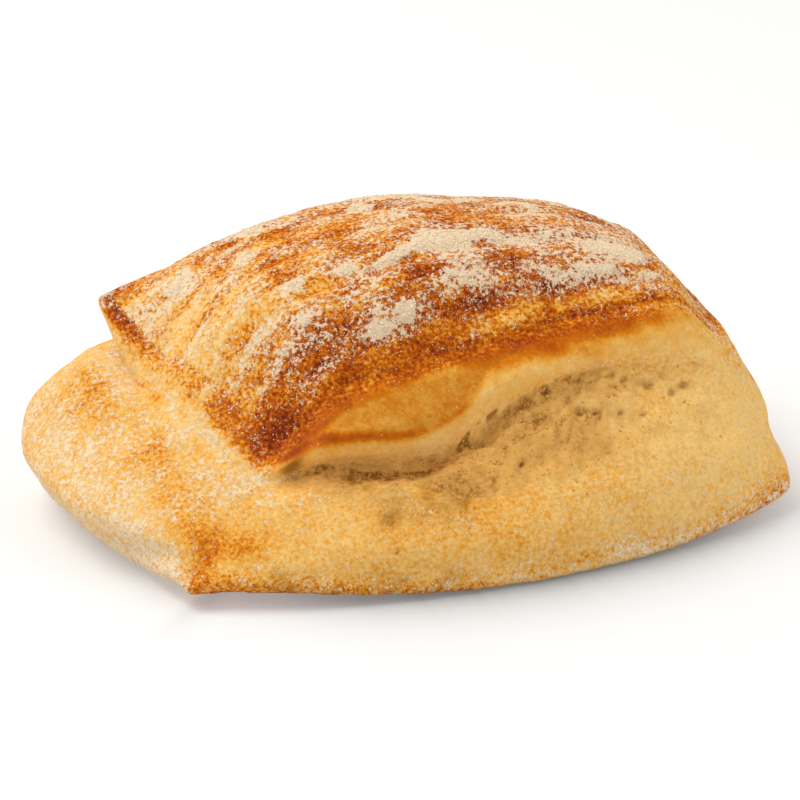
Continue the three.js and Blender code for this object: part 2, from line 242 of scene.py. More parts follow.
def outward_at(s):
    """Unit vectors in plan that are square to each side and turn at the corners, by powers of the place."""
    direction = np.stack([np.sign(x) * np.abs(x) ** CORNER_SHARPNESS for x in on_square(s)], 1)
    return direction / np.hypot(*direction.T)[:, None]


def levels_at(s):
    """The side's control points at each s, one for each level: plan point, and height."""
    crest = on_outline(CREST, s, CREST_CUT)
    rim = on_outline(RIM, s, RIM_CUT)
    body = on_outline(RIM, s, BODY_CUT)
    outward = outward_at(s)
    crest_height = ring("crest_height", s)
    pinch = bell((s + 2) % 4, 2, PINCH["width"])
    rim_height = ring("rim_height", s) - PINCH["dip"] * pinch

    def point(start, distance, height):
        plan = start + outward * np.broadcast_to(distance, s.shape)[:, None]
        return np.column_stack([plan, np.broadcast_to(height, s.shape)])

    def below_crest(level):
        return point(crest, ring(level + "_out", s), crest_height - ring(level + "_drop", s))

    share = ring("shoulder_share", s)[:, None]
    foot = FOOT_SHARE_OF_BODY * body + (1 - FOOT_SHARE_OF_BODY) * rim
    return np.stack([
        point(crest, -ring("brow_in", s), crest_height + ring("brow_lift", s)),
        point(crest, 0, crest_height),
        below_crest("face"),
        below_crest("lip"),
        below_crest("under"),
        below_crest("tear"),
        point((1 - share) * crest + share * body, 0, ring("shoulder_height", s)),
        point(body, ring("belly_out", s), ring("belly_height", s)),
        point(foot, ring("foot_out", s), rim_height + ring("foot_lift", s)),
        point(rim, PINCH["out"] * pinch, rim_height),
        point(rim, -HEEL["inside"], rim_height * HEEL["share"]),
        point(rim, -SOLE_INSIDE, 0),
    ])


def side_rows(s):
    """Rows of points down the side, on a Catmull-Rom curve through the levels, and the level of each row."""
    levels = levels_at(s)
    through = np.concatenate([[2 * levels[0] - levels[1]], levels, [2 * levels[-1] - levels[-2]]])
    rows, at = [], []
    for i, count in enumerate(ROWS_BETWEEN):
        a, b, c, d = through[i:i + 4]
        for f in np.arange(count) / count:
            rows.append(0.5 * (2 * b + (c - a) * f + (2 * a - 5 * b + 4 * c - d) * f ** 2
                               + (3 * b - a - 3 * c + d) * f ** 3))
            at.append(i + f)
    rows.append(levels[-1])
    at.append(len(levels) - 1)
    return np.array(rows), np.array(at, float)


def top_patch(brow, u, v):
    """A Coons patch: both pairs of sides blended, less the corners blended twice. The dome on it is a power
    of the product of two parabolas, and leans to the left."""
    nu, nv = FRONT_COLUMNS, END_COLUMNS
    front, right = brow[:nu + 1], brow[nu:nu + nv + 1]
    back = brow[nu + nv:2 * nu + nv + 1][::-1]
    left = np.concatenate([brow[2 * nu + nv:], brow[:1]])[::-1]
    u, v = u[None, :, None], v[:, None, None]
    patch = ((1 - v) * front[None] + v * back[None] + (1 - u) * left[:, None] + u * right[:, None]
             - (1 - u) * (1 - v) * front[0] - u * (1 - v) * front[-1]
             - (1 - u) * v * back[0] - u * v * back[-1])
    parabolas = 16 * u * (1 - u) * v * (1 - v) * (1 - DOME["lean"] * (u - 0.5))
    patch[..., 2:] += DOME["height"] * parabolas ** DOME["fullness"]
    return patch


class Skin:
    """The roll's surface: points, faces, and for each point its s and level, or its u and v on the top."""

    def __init__(self):
        nu, nv = FRONT_COLUMNS, END_COLUMNS
        round_s = np.concatenate([side + np.arange(n) / n for side, n in enumerate((nu, nv, nu, nv))])
        rows, row_level = side_rows(round_s)
        columns = len(round_s)
        side = np.arange(rows.shape[0] * columns).reshape(rows.shape[0], columns)
        u, v = np.linspace(0, 1, nu + 1), np.linspace(0, 1, nv + 1)
        inside_u, inside_v = (grid.ravel() for grid in np.meshgrid(u[1:-1], v[1:-1]))
        top = top_patch(rows[0], u, v)[1:-1, 1:-1].reshape(-1, 3)
        middle = rows[-1].mean(0)
        shrink = 1 - np.arange(1, SOLE_RINGS) / SOLE_RINGS
        sole = np.concatenate([middle + (rows[-1] - middle) * share for share in shrink] + [middle[None]])
        self.points = np.concatenate([rows.reshape(-1, 3), top, sole])

        n_side, n_top, n_sole = side.size, len(top), len(sole)
        self.s = np.concatenate([np.tile(round_s, len(row_level)), np.zeros(n_top), np.zeros(n_sole)])
        self.level = np.concatenate([np.repeat(row_level, columns), np.full(n_top, LEVEL_TOP),
                                     np.full(n_sole, LEVEL_SOLE)])
        none = np.zeros(n_side)
        self.u = np.concatenate([none, inside_u, np.zeros(n_sole)])
        self.v = np.concatenate([none, inside_v, np.zeros(n_sole)])
        self.on_top = self.level < 0
        self._brow_as_top(round_s)

        frame_grid = np.zeros((nv + 1, nu + 1), int)
        frame_grid[1:-1, 1:-1] = n_side + np.arange(n_top).reshape(nv - 1, nu - 1)
        frame_grid[0] = side[0, :nu + 1]
        frame_grid[:, -1] = side[0, nu:nu + nv + 1]
        frame_grid[-1, ::-1] = side[0, nu + nv:2 * nu + nv + 1]
        frame_grid[1:, 0] = side[0, 2 * nu + nv:][::-1]
        inner = n_side + n_top + np.arange((SOLE_RINGS - 1) * columns).reshape(SOLE_RINGS - 1, columns)
        rings = np.concatenate([side, inner])
        after = np.roll(rings, -1, axis=1)
        walls = np.stack([rings[1:], after[1:], after[:-1], rings[:-1]], -1).reshape(-1, 4)
        g = frame_grid
        crown = np.stack([g[:-1, :-1], g[:-1, 1:], g[1:, 1:], g[1:, :-1]], -1).reshape(-1, 4)
        self.quads = np.concatenate([walls, crown])
        centre = len(self.points) - 1
        self.fan = np.stack([after[-1], rings[-1], np.full(columns, centre)], -1)

    def _brow_as_top(self, s):
        """Gives the brow's own points their u and v, so that the top's pattern runs on to its edge."""
        side = np.floor(s).astype(int)
        t = s - side
        none, whole = np.zeros(len(s)), np.ones(len(s))
        self.u[:len(s)] = np.choose(side, [t, whole, 1 - t, none])
        self.v[:len(s)] = np.choose(side, [none, t, whole, 1 - t])

    def normals(self):
        """Unit normals at the points: for each, the sum of the cross products of its faces' diagonals."""
        p = self.points
        total = np.zeros_like(p)
        for faces in (self.quads, self.fan):
            a, b, c, last = (p[faces[:, corner]] for corner in (0, 1, 2, -1))
            cross = np.cross(c - a, last - b)
            for corner in faces.T:
                for axis in range(3):
                    total[:, axis] += np.bincount(corner, cross[:, axis], len(p))
        return total / np.linalg.norm(total, axis=1, keepdims=True)

    def move(self, heights):
        """Moves the points along their normals, and keeps them above the table."""
        self.points = self.points + self.normals() * heights[:, None]
        self.points[:, 2] = np.maximum(self.points[:, 2], 0)


# ---- What lies where. A stroke is (place along, place across, half length, half width, strength).

# Browner or paler strokes on the top crust, by u and v.
TOP_BAKE = (
    (0.02, 0.04, 0.07, 0.09, 0.5), (0.22, 0.05, 0.16, 0.1, 0.34), (0.17, 0.16, 0.08, 0.07, 0.22),
    (0.45, 0.1, 0.06, 0.035, 0.22), (0.58, 0.115, 0.11, 0.025, 0.1), (0.68, 0.005, 0.14, 0.025, 0.24),
    (0.38, 0.23, 0.06, 0.035, 0.22), (0.02, 0.16, 0.12, 0.08, 0.22), (0.2, 0.19, 0.1, 0.05, 0.2),
    (0.15, 0.67, 0.05, 0.08, 0.08), (0.04, 0.93, 0.08, 0.08, 0.2), (0.78, 0.62, 0.1, 0.16, -0.12),
    (0.66, 0.2, 0.06, 0.04, 0.1), (0.7, 0.35, 0.12, 0.05, 0.06), (0.28, 0.4, 0.08, 0.1, 0.08),
    (0.52, 0.05, 0.12, 0.03, -0.42), (0.73, 0.055, 0.09, 0.025, -0.34), (0.55, 0.48, 0.05, 0.07, -0.22),
    (0.32, 0.05, 0.1, 0.06, -0.2), (0.76, 0.02, 0.18, 0.06, -0.24), (0.37, 0.5, 0.06, 0.06, -0.14),
    (0.62, 0.52, 0.14, 0.14, -0.12), (0.24, 0.7, 0.04, 0.12, -0.06), (0.34, 0.66, 0.06, 0.14, -0.14),
    (0, 0.6, 0.07, 0.4, -0.16), (0.09, 0.5, 0.09, 0.3, -0.12), (0.95, 0.2, 0.07, 0.3, -0.2),
    (0.05, 0.99, 0.2, 0.03, 0.2), (0.75, 0.72, 0.12, 0.1, 0.04), (0.6, 0.84, 0.1, 0.05, 0.1),
    (0.85, 0.55, 0.08, 0.12, 0.04), (0.45, 0.9, 0.16, 0.06, 0.08),
)
# Patches of caked flour on the top crust, by u and v.
TOP_FLOUR = (
    (0.45, 0.34, 0.045, 0.05, 1), (0.49, 0.31, 0.03, 0.035, 0.7), (0.435, 0.18, 0.035, 0.035, 1),
    (0.335, 0.135, 0.022, 0.03, 0.9), (0.27, 0.105, 0.02, 0.025, 0.9), (0.16, 0.23, 0.02, 0.03, 0.7),
    (0.19, 0.66, 0.025, 0.04, 0.9), (0.27, 0.33, 0.02, 0.02, 0.7), (0.185, 0.36, 0.02, 0.03, 0.6),
    (0.345, 0.31, 0.03, 0.02, 0.9), (0.38, 0.33, 0.02, 0.02, 0.8), (0.54, 0.34, 0.03, 0.03, 0.8),
    (0.62, 0.17, 0.05, 0.025, 0.6), (0.72, 0.15, 0.04, 0.02, 0.6), (0.75, 0.25, 0.05, 0.05, 0.8),
    (0.81, 0.23, 0.035, 0.045, 0.9), (0.84, 0.13, 0.05, 0.02, 0.5), (0.6, 0.3, 0.06, 0.04, 0.5),
    (0.5, 0.85, 0.08, 0.08, 0.8), (0.3, 0.9, 0.05, 0.05, 0.7), (0.7, 0.6, 0.06, 0.07, 0.7),
    (0.62, 0.72, 0.03, 0.04, 0.8), (0.88, 0.6, 0.04, 0.08, 0.7), (0.42, 0.7, 0.03, 0.05, 0.8),
    (0.8, 0.85, 0.05, 0.04, 0.8), (0.1, 0.8, 0.03, 0.05, 0.7), (0.55, 0.71, 0.03, 0.04, 0.9),
    (0.25, 0.8, 0.03, 0.04, 0.9),
)
# Where the dust of flour on the top crust is thicker or thinner, by u and v.
TOP_DUST = (
    (0.3, 0.01, 0.4, 0.07, -0.2), (0.75, 0, 0.3, 0.08, -0.2), (0.52, 0.05, 0.12, 0.04, -0.16),
    (0.78, 0.3, 0.16, 0.16, 0.14), (0.46, 0.33, 0.08, 0.08, 0.06), (0.4, 0.22, 0.09, 0.05, -0.12),
    (0.02, 0.05, 0.08, 0.1, -0.24), (0.5, 0.9, 0.4, 0.12, 0.2), (0.36, 0.6, 0.05, 0.07, -0.12),
    (0.56, 0.5, 0.05, 0.08, -0.22), (0.24, 0.66, 0.05, 0.12, -0.1), (0.14, 0.18, 0.14, 0.06, -0.16),
    (0.37, 0.5, 0.05, 0.05, 0.36), (0.46, 0.49, 0.04, 0.09, 0.24), (0.68, 0.53, 0.06, 0.08, 0.18),
    (0.32, 0.11, 0.12, 0.03, 0.2), (0.66, 0.12, 0.06, 0.04, 0.22), (0, 0.5, 0.04, 0.1, -0.1),
    (0.66, 0.18, 0.05, 0.03, -0.2), (0.35, 0.2, 0.06, 0.06, -0.14), (0.14, 0.33, 0.1, 0.04, -0.12),
    (0.75, 0.37, 0.05, 0.03, -0.14), (0.58, 0.42, 0.1, 0.03, -0.14), (0.05, 0.9, 0.08, 0.1, -0.2),
    (0.25, 0.63, 0.04, 0.08, -0.12), (0.5, 0.16, 0.06, 0.04, 0.14), (0.46, 0.26, 0.05, 0.03, 0.2),
    (0.06, 0.38, 0.08, 0.05, 0.14), (0.2, 0.25, 0.08, 0.03, 0.16), (0.36, 0.37, 0.04, 0.04, -0.14),
    (0.84, 0.53, 0.05, 0.06, -0.22), (0.25, 0.5, 0.04, 0.05, 0.14), (0.15, 0.68, 0.05, 0.06, -0.14),
    (0.4, 0.43, 0.07, 0.03, -0.16),
)
# Browner or paler strokes on the side, by s and level. Most are bake; the few noted below are painted light.
SIDE_BAKE_AND_PAINTED_LIGHT = (
    (0, 0.3, 0.06, 1.2, 0.08), (0.24, 0.3, 0.2, 0.9, 0.03), (0.01, 2.8, 0.03, 0.8, 0.14),
    (0.65, 3.2, 0.035, 0.8, 0.14), (0.75, 2.9, 0.03, 0.6, 0.12), (0.36, 6.5, 0.1, 0.6, 0.12),
    (0.06, 3.4, 0.03, 1, 0.12), (0.33, 4.4, 0.05, 0.5, -0.14), (0.08, 7.1, 0.06, 0.4, 0.13),
    (0.05, 7.5, 0.07, 0.4, 0.08), (0.95, 8.3, 0.05, 0.6, 0.1), (0.46, 2.2, 0.025, 0.6, 0.12),
    # (0.6, 8.9, ...) is painted light: paler along the front rim, against the shade where it meets the floor.
    (0.6, 8.9, 0.14, 0.5, -0.34), (0.3, 4.4, 0.06, 0.5, -0.06), (1.4, 1, 0.2, 1, 0.1),
    (2.2, 1.2, 0.25, 1, 0.12), (1.75, 2.6, 0.1, 0.7, 0.1), (2.7, 2.8, 0.14, 0.8, 0.12),
    (1.5, 5.6, 0.12, 0.6, 0.08), (2.4, 6.2, 0.2, 0.7, 0.08), (0.02, 7.2, 0.07, 0.5, 0.22),
    (0.89, 2.9, 0.03, 0.6, 0.1), (0.012, 8.2, 0.022, 0.9, 0.22), (0.97, 8.9, 0.05, 0.6, 0.2),
    # (0.95, 5, ...), (0.85, 6.8, ...) and (1.1, 6, ...) are painted light: paler towards the right end, which
    # the fill light also brightens.
    (0.95, 5, 0.15, 2, -0.08), (0.85, 6.8, 0.2, 1, -0.1), (1.1, 6, 0.2, 1.6, -0.08),
    (3.12, 0.6, 0.13, 1, 0.34), (3.18, 3, 0.1, 1, 0.16), (3.12, 7.2, 0.1, 0.8, 0.1),
    (3.25, 5.9, 0.05, 0.3, 0.1), (3.45, 3.2, 0.1, 0.7, 0.06), (3.49, 5, 0.05, 0.5, 0.24),
    (3.65, 0.5, 0.02, 0.7, -0.3), (3.78, 5.4, 0.05, 0.4, 0.1), (3.6, 2.2, 0.025, 1.3, 0.19),
    (3.75, 2, 0.025, 1, 0.15), (3.85, 2.2, 0.02, 0.7, 0.08), (3.65, 4.4, 0.03, 0.8, 0.12),
    (3.38, 4, 0.04, 0.8, 0.12), (3.57, 5.65, 0.04, 0.3, -0.08), (3.92, 0.2, 0.05, 0.6, 0.22),
    (3.3, 5.9, 0.02, 0.6, 0.12), (3.61, 6.3, 0.03, 0.35, 0.08), (3.93, 7, 0.06, 0.4, 0.02),
)
# Painted shade: faint brown darkening on the front, by s and level.
PAINTED_SHADE_STROKES = (
    (0.34, 6.45, 0.12, 0.6, 0.5), (0.2, 5.9, 0.08, 0.35, 0.55), (0.52, 5.75, 0.06, 0.3, 0.42),
    (0.63, 3.1, 0.04, 0.6, 0.24), (0.66, 4.3, 0.03, 0.9, 0.32), (0.77, 5.65, 0.05, 0.25, 0.55),
    (0.4, 6.6, 0.03, 0.3, 0.3), (0.55, 5.5, 0.03, 0.25, 0.3), (1.4, 5.7, 0.12, 0.3, 0.4),
    (2.5, 5.6, 0.2, 0.3, 0.45),
)
# Where no flour stuck to the left lobe, by s and level.
LOBE_BARE = (
    (3.49, 5, 0.06, 0.6, 1), (3.78, 5.4, 0.06, 0.5, 0.6), (3.95, 6.9, 0.06, 0.5, 0.9),
    (3.6, 2.3, 0.03, 1.5, 1), (3.75, 2, 0.03, 1.2, 0.8), (3.65, 4.4, 0.03, 0.8, 0.7),
    (3.38, 4, 0.05, 0.9, 0.7), (3.97, 8, 0.04, 0.6, 0.6),
)
# Pores that show in the torn crumb and the side, as (s, level, radius, depth).
PORES = (
    (0.39, 5.1, 1.3, 0.5), (0.42, 5.3, 1, 0.4), (0.5, 5.15, 0.6, 0.2), (0.55, 5.15, 1, 0.5),
    (0.61, 5.2, 0.9, 0.5), (0.685, 5.35, 0.8, 0.45), (0.47, 6, 0.7, 0.4), (0.505, 6.3, 0.6, 0.7),
    (0.62, 6.03, 1.1, 0.65), (0.65, 6.08, 0.9, 0.55), (0.7, 6.12, 0.9, 0.6), (0.735, 6.18, 0.9, 0.6),
    (0.71, 5.6, 0.8, 0.5), (0.8, 5.95, 0.9, 0.5), (0.835, 5.7, 1, 0.5), (1.5, 5.8, 1, 0.5),
    (1.56, 5.9, 0.8, 0.4), (2.3, 5.5, 1.1, 0.5), (2.36, 5.6, 0.8, 0.4), (2.62, 5.7, 1, 0.5),
    (2.85, 5.4, 0.9, 0.5), (0.29, 6.6, 1.6, 0.34), (0.345, 6.6, 1.2, 0.2), (0.305, 7.3, 0.4, 0.5),
    (3.615, 5.8, 0.35, 0.4),
)

# What changes round the roll, as points (s, value) with straight lines between them.
CURVES = {
    # The level of the burst face's lower edge: down from the crest at the left, and up to it again.
    "lip_level": ((0, 0.6), (0.05, 1.5), (0.1, 2.3), (0.15, 2.8), (0.2, 2.95), (0.25, 3.2), (0.3, 3.4),
                  (0.35, 3.2), (0.4, 2.8), (0.44, 2), (0.52, 1.2)),
    # The level of the orange belt round the left lobe, lower towards the front.
    "belt_level": ((3.1, 5.9), (3.4, 6.1), (3.7, 6.15), (3.8, 6.4), (3.9, 6.8), (4, 7.1)),
    # How brown the crest's edge is on the front, and between which levels this fades.
    "edge_brown": ((0.04, 0.62), (0.1, 0.74), (0.16, 0.6), (0.36, 0.57), (0.42, 0.62), (0.74, 0.68),
                   (0.79, 0.52), (0.85, 0.42), (0.95, 0.24)),
    "edge_fades_from": ((0.02, 0.2), (0.06, 0.7), (0.1, 1.8), (0.15, 1), (0.38, 0.5), (0.46, 1), (0.52, 1.3),
                        (0.6, 1.5), (0.7, 1.1), (0.8, 0.6)),
    "edge_fades_to": ((0.02, 1.3), (0.06, 2), (0.1, 2.8), (0.15, 2.5), (0.38, 1.8), (0.46, 3.2), (0.52, 3.5),
                      (0.6, 4.1), (0.7, 3.7), (0.8, 3.4)),
    # The same on the other three sides.
    "end_edge_brown": ((1, 0.28), (1.2, 0.46), (3.05, 0.46), (3.2, 0.44), (3.4, 0.24), (3.5, 0.28),
                       (3.7, 0.42), (3.9, 0.5)),
    "end_edge_fades_to": ((3.1, 1.8), (3.3, 2.8), (3.6, 4)),
    # How brown the line along the lip is, and its half width in levels.
    "lip_brown": ((0, 0.3), (0.03, 0.5), (0.06, 0.76), (0.12, 0.8), (0.16, 0.64), (0.28, 0.57), (0.36, 0.4),
                  (0.5, 0.12)),
    "lip_width": ((0.04, 1.3), (0.1, 0.9), (0.15, 0.55), (0.2, 0.43)),
    # The level of the crease's middle, and by how much the pits right of it lie higher than the tear's edge.
    "crease_level": ((0.1, 4.9), (0.2, 5.35), (0.3, 5.4)),
    "pits_lift": ((0.35, 0), (0.4, 0.5), (0.46, 0.4), (0.52, 0)),
}
# The belt's half width in levels, and the faint gap in it.
BELT = {"half_width": 0.35, "gap_at": 3.51, "gap_half": 0.07, "gap": 0.8}
# How brown each form is.
BROWN = {"top_left": 0.36, "top_middle": 0.22, "top_front": 0.06, "top_right": -0.08, "top_strokes": 0.7,
         "face": 0.37, "body": 0.15, "front_base": 0.22, "end_body": 0.08, "end_foot": 0.08, "belt": 0.15,
         "end_base": 0.12, "heel": 0.3}
# How strongly fine grain shows in the brown of each form.
GRAIN = {"top": 1.5, "side": 0.9, "face": -0.6, "base": 0.5, "crest_edge": 0.4}
# How much flour lies on each form, and how much of it each form sheds.
DUST = {"top": 0.44, "patches": 0.6, "side": 0.16, "ends": 0.1, "back": 0.1, "lobe": 0.26, "lobe_edge": 1.2,
        "near_left": 0.24, "base": 0.14, "right_base": 0.16, "right": 0.05, "end_brow": 0.1, "lobe_foot": 0.1}
SHED = {"belt": 0.75, "bare": 0.6, "face": 0.92, "torn": 0.8, "crest_edge": 0.8}
# How dark the painted shade is in the crease, in the pits, on the burst face, along the base and in blotches.
PAINTED_SHADE = {"crease": 0.8, "pits": 0.85, "face": 0.33, "base": 0.46, "shade_blotches": 0.35}
# Heights of the finer relief, in millimetres, and what shapes a pore. In the search for the point nearest to
# a pore's place, the length of a side counts as ten levels.
RELIEF = {"strands": 0.2, "thin_strands": 0.12, "pits": 0.6, "small_pits": 0.3, "pores": 0.9, "flour": 0.22}
PORE = {"upright": 1.8, "flatness": 4, "least_radius": 0.1}
LEVELS_IN_A_SIDE = 10

# Layers of noise on the surface, as (strength, size of a lump, shift) and, for noise that is drawn out, what
# the points are multiplied by.
UPRIGHT = (1.2, 1.2, 0.5)
NOISES = {
    "blisters": ((0.12, 1.6, 5), (0.07, 0.8, 9)),
    "body": ((0.08, 2.5, 13), (0.05, 1, 17)),
    "base": ((0.12, 0.8, 19),),
    "pore_edges": ((0.6, 1.2, 81), (0.5, 0.6, 83)),
    "top_bake": ((0.14, 3, 21, (0.3, 1, 0)), (0.14, 1.3, 23, (0.35, 1, 0)), (0.1, 1.6, 25)),
    "mottle": ((0.05, 6, 31), (0.06, 2.4, 33), (0.06, 1, 35)),
    "blotches": ((0.13, 2.2, 87, (0.4, 1, 1)),),
    "end_blotches": ((0.08, 8, 89),),
    "crumb": ((0.4, 1.4, 75),),
    "top_dust": ((0.16, 2.4, 41, (0.35, 1, 0)), (0.16, 1.1, 43, (0.4, 1, 0))),
    "left_streaks": ((0.22, 1.5, 49, (0.3, 1, 0)),),
    "patch_edges": ((0.5, 2.2, 45, (0.6, 1, 1)), (0.35, 0.9, 47)),
    "side_dust": ((0.1, 3, 51), (0.1, 1.2, 53)),
    "crease_edges": ((0.5, 2.2, 61), (0.5, 0.9, 63)),
    "crease_wave": ((0.12, 3, 77),),
    "pits": ((1, 1.5, 67, UPRIGHT), (0.5, 0.7, 69, UPRIGHT)),
    "pits_wave": ((0.15, 3, 65),),
    "shade_blotches": ((1, 3.2, 71), (0.6, 1.1, 73)),
    "painted_shades": ((0.4, 1.6, 79),),
}


def strokes(along, across, marks):
    """The sum of bell-shaped strokes, each its strength times a bell along it and a bell across it."""
    return sum(strength * bell(along, a, half_a) * bell(across, b, half_b)
               for a, b, half_a, half_b, strength in marks)


def side_strokes(s, level, marks):
    """The same on the side, where s comes round to 0 again after 4."""
    return strokes(s, level, marks) + strokes(s - 4, level, marks) + strokes(s + 4, level, marks)


def curve(name, s):
    """A curve's value at s."""
    return np.interp(s, *zip(*CURVES[name]))


def layered(name, points):
    """The sum of layers of noise, each from minus its strength to its strength."""
    return sum(strength * noise(points * (drawn or 1), size, shift)
               for strength, size, shift, *drawn in NOISES[name])


def tornness(skin):
    """How torn the crust is, from 0 to 1: a window along the front times a window down it, deeper to the
    right."""
    s, level = skin.s, skin.level
    deep = rise(TEAR_DEEPENS["from"], TEAR_DEEPENS["by"], s)
    end = TEAR_DOWN["shallow_end"] + (TEAR_DOWN["deep_end"] - TEAR_DOWN["shallow_end"]) * deep
    down = window(level, TEAR_DOWN["start"], TEAR_DOWN["full"], end, end + TEAR_DOWN["fade"])
    return np.where(s < 1, window(s, **TEAR_ALONG) * down, 0)


def folds(skin):
    """Lengthwise folds of the top crust: sunken bells across it, on lines that wander with noise."""
    x = np.column_stack([skin.points[:, 0], np.zeros((len(skin.points), 2))])
    u, v = skin.u, skin.v
    wave = FOLD["wave"] * noise(x, FOLD["reach"])
    at_ends = rise(0, FOLD_FADE["ends"], u) * rise(0, FOLD_FADE["ends"], 1 - u)
    at_sides = rise(0, FOLD_FADE["front"], v) * rise(0, FOLD_FADE["back"], 1 - v)
    depth = 0
    for i, line in enumerate(FOLD_LINES):
        swing = noise(x + (0, 2 * i * FOLD["reach"], FOLD["reach"]), FOLD["reach"])
        depth = depth + (1 - FOLD["unevenness"] * (1 - swing)) * bell(v, line + wave, FOLD["width"])
    return np.where(skin.on_top, -FOLD["depth"] * at_ends * at_sides * depth, 0)


def coarse_relief(skin, torn):
    """The relief that the part has: lumps everywhere, folds on the top and crags in the tear."""
    held = rise(LEVEL_FOOT, LEVEL_RIM, skin.level)
    lump = sum(height * noise(skin.points, size) for size, height in LUMPS)
    flat = skin.points * (1, 1, CRAG_FLATNESS)
    crag = sum(depth * (0.5 + 0.5 * noise(flat, size)) for size, depth in CRAGS)
    return lump * (1 - held) + folds(skin) - crag * torn


def pore_field(skin):
    """Pores at their places: for each, a flat bell of the distance from its middle in radii, which counts
    nearly double up and down, made ragged by noise."""
    field = np.zeros(len(skin.points))
    ragged = np.maximum(1 + layered("pore_edges", skin.points), PORE["least_radius"])
    for s, level, radius, depth in PORES:
        gap = np.hypot((skin.s - s) * LEVELS_IN_A_SIDE, skin.level - level)
        middle = np.argmin(np.where(skin.on_top, np.inf, gap))
        away = np.linalg.norm((skin.points - skin.points[middle]) * (1, 1, PORE["upright"]), axis=1)
        field += depth * np.exp(-(away / (radius * ragged)) ** PORE["flatness"])
    return field


def fine_relief(skin, torn, flour, pores):
    """What the part leaves out: torn strands and pits, blisters on the top, caked flour, pores, and a grainy
    base edge."""
    p = skin.points
    strands = RELIEF["strands"] * (1 - np.abs(noise(p * (1, 1, 0.5), 1.9, 3)))
    strands = strands + RELIEF["thin_strands"] * (1 - np.abs(noise(p, 0.9, 7)))
    wide, own = bubbles(p, 2.6)
    small, _ = bubbles(p, 1.4, 11)
    pits = RELIEF["pits"] * rise(0.35, 0.6, own) * (1 - rise(0.1, 0.4, wide))
    pits = pits + RELIEF["small_pits"] * (1 - rise(0.1, 0.4, small))
    crust = np.where(skin.on_top, layered("blisters", p), layered("body", p)) * (1 - face_window(skin))
    base = layered("base", p) * rise(LEVEL_FOOT, LEVEL_RIM, skin.level)
    return crust + base + (strands - pits) * torn - RELIEF["pores"] * pores + RELIEF["flour"] * flour ** 2


def belt(s, level):
    """The orange belt round the left lobe, from 0 to 1, with a faint place in it."""
    return bell(level, curve("belt_level", s), BELT["half_width"]) * (
        1 - BELT["gap"] * bell(s, BELT["gap_at"], BELT["gap_half"]))


def burst_face(s, level):
    """The golden face alone: 1 between the crest's edge and the lip, and 0 outside."""
    lip = curve("lip_level", s)
    return window(level, 0.8, 1.3, lip - 0.3, lip + 0.1) * rise(0.1, 0.16, s) * (s < 0.5)


def face_window(skin):
    """The smooth burst skin: 1 on the front, from the crest's edge to above the tear, and 0 outside."""
    down = window(skin.level, 0.4, 1.2, 4.2, 4.8)
    return np.where((skin.s < 1) & ~skin.on_top, down * window(skin.s, 0, 0.05, 0.85, 0.97), 0)


def top_bake(skin):
    """The top's bake: golden to the left, brown to the front, with strokes and lengthwise streaks."""
    u, v = skin.u, skin.v
    bake = BROWN["top_left"] + BROWN["top_middle"] * rise(0.05, 0.4, u)
    bake = bake + BROWN["top_right"] * rise(0.85, 1, u) + BROWN["top_front"] * (1 - rise(0.05, 0.4, v))
    return bake + BROWN["top_strokes"] * strokes(u, v, TOP_BAKE) + layered("top_bake", skin.points)


def base_bake(level, strength):
    """Browner towards the rim, and browner still under the heel."""
    return strength * rise(7.8, 8.8, level) + BROWN["heel"] * rise(9, 9.8, level)


def front_bake(s, level):
    """The front's bake: a brown crest edge, deeper over the middle and paler to the right, a golden face with
    a browned line along its lower edge, and pale crumb and body below."""
    lip = curve("lip_level", s)
    edge = 1 - rise(curve("edge_fades_from", s), curve("edge_fades_to", s), level)
    edge = edge * curve("edge_brown", s)
    face = BROWN["face"] * window(level, 0.7, 1.5, lip - 0.1, lip + 0.3)
    line = curve("lip_brown", s) * bell(level, lip, curve("lip_width", s))
    body = BROWN["body"] * rise(lip, lip + 0.4, level)
    forms = np.maximum(np.maximum(edge, face), np.maximum(line, body))
    return forms + base_bake(level, BROWN["front_base"])


def end_bake(s, level):
    """The bake of the other three sides: an edge that browns towards the front corners, a paler band, a
    golden body with an orange belt round the left lobe, and a browner base."""
    edge = curve("end_edge_brown", s) * (1 - rise(0.3, curve("end_edge_fades_to", s), level))
    body = BROWN["end_body"] + BROWN["end_foot"] * rise(4.5, 6.5, level)
    orange = BROWN["belt"] * belt(s, level) * rise(3.1, 3.3, s)
    return edge + body + orange + base_bake(level, BROWN["end_base"])


def front_share(s):
    """1 on the front and 0 on the other sides, with a soft change round both front corners."""
    return np.where(s > 3, rise(3.94, 4.06, s), np.where(s < 2, 1 - rise(0.94, 1.06, s), 0))


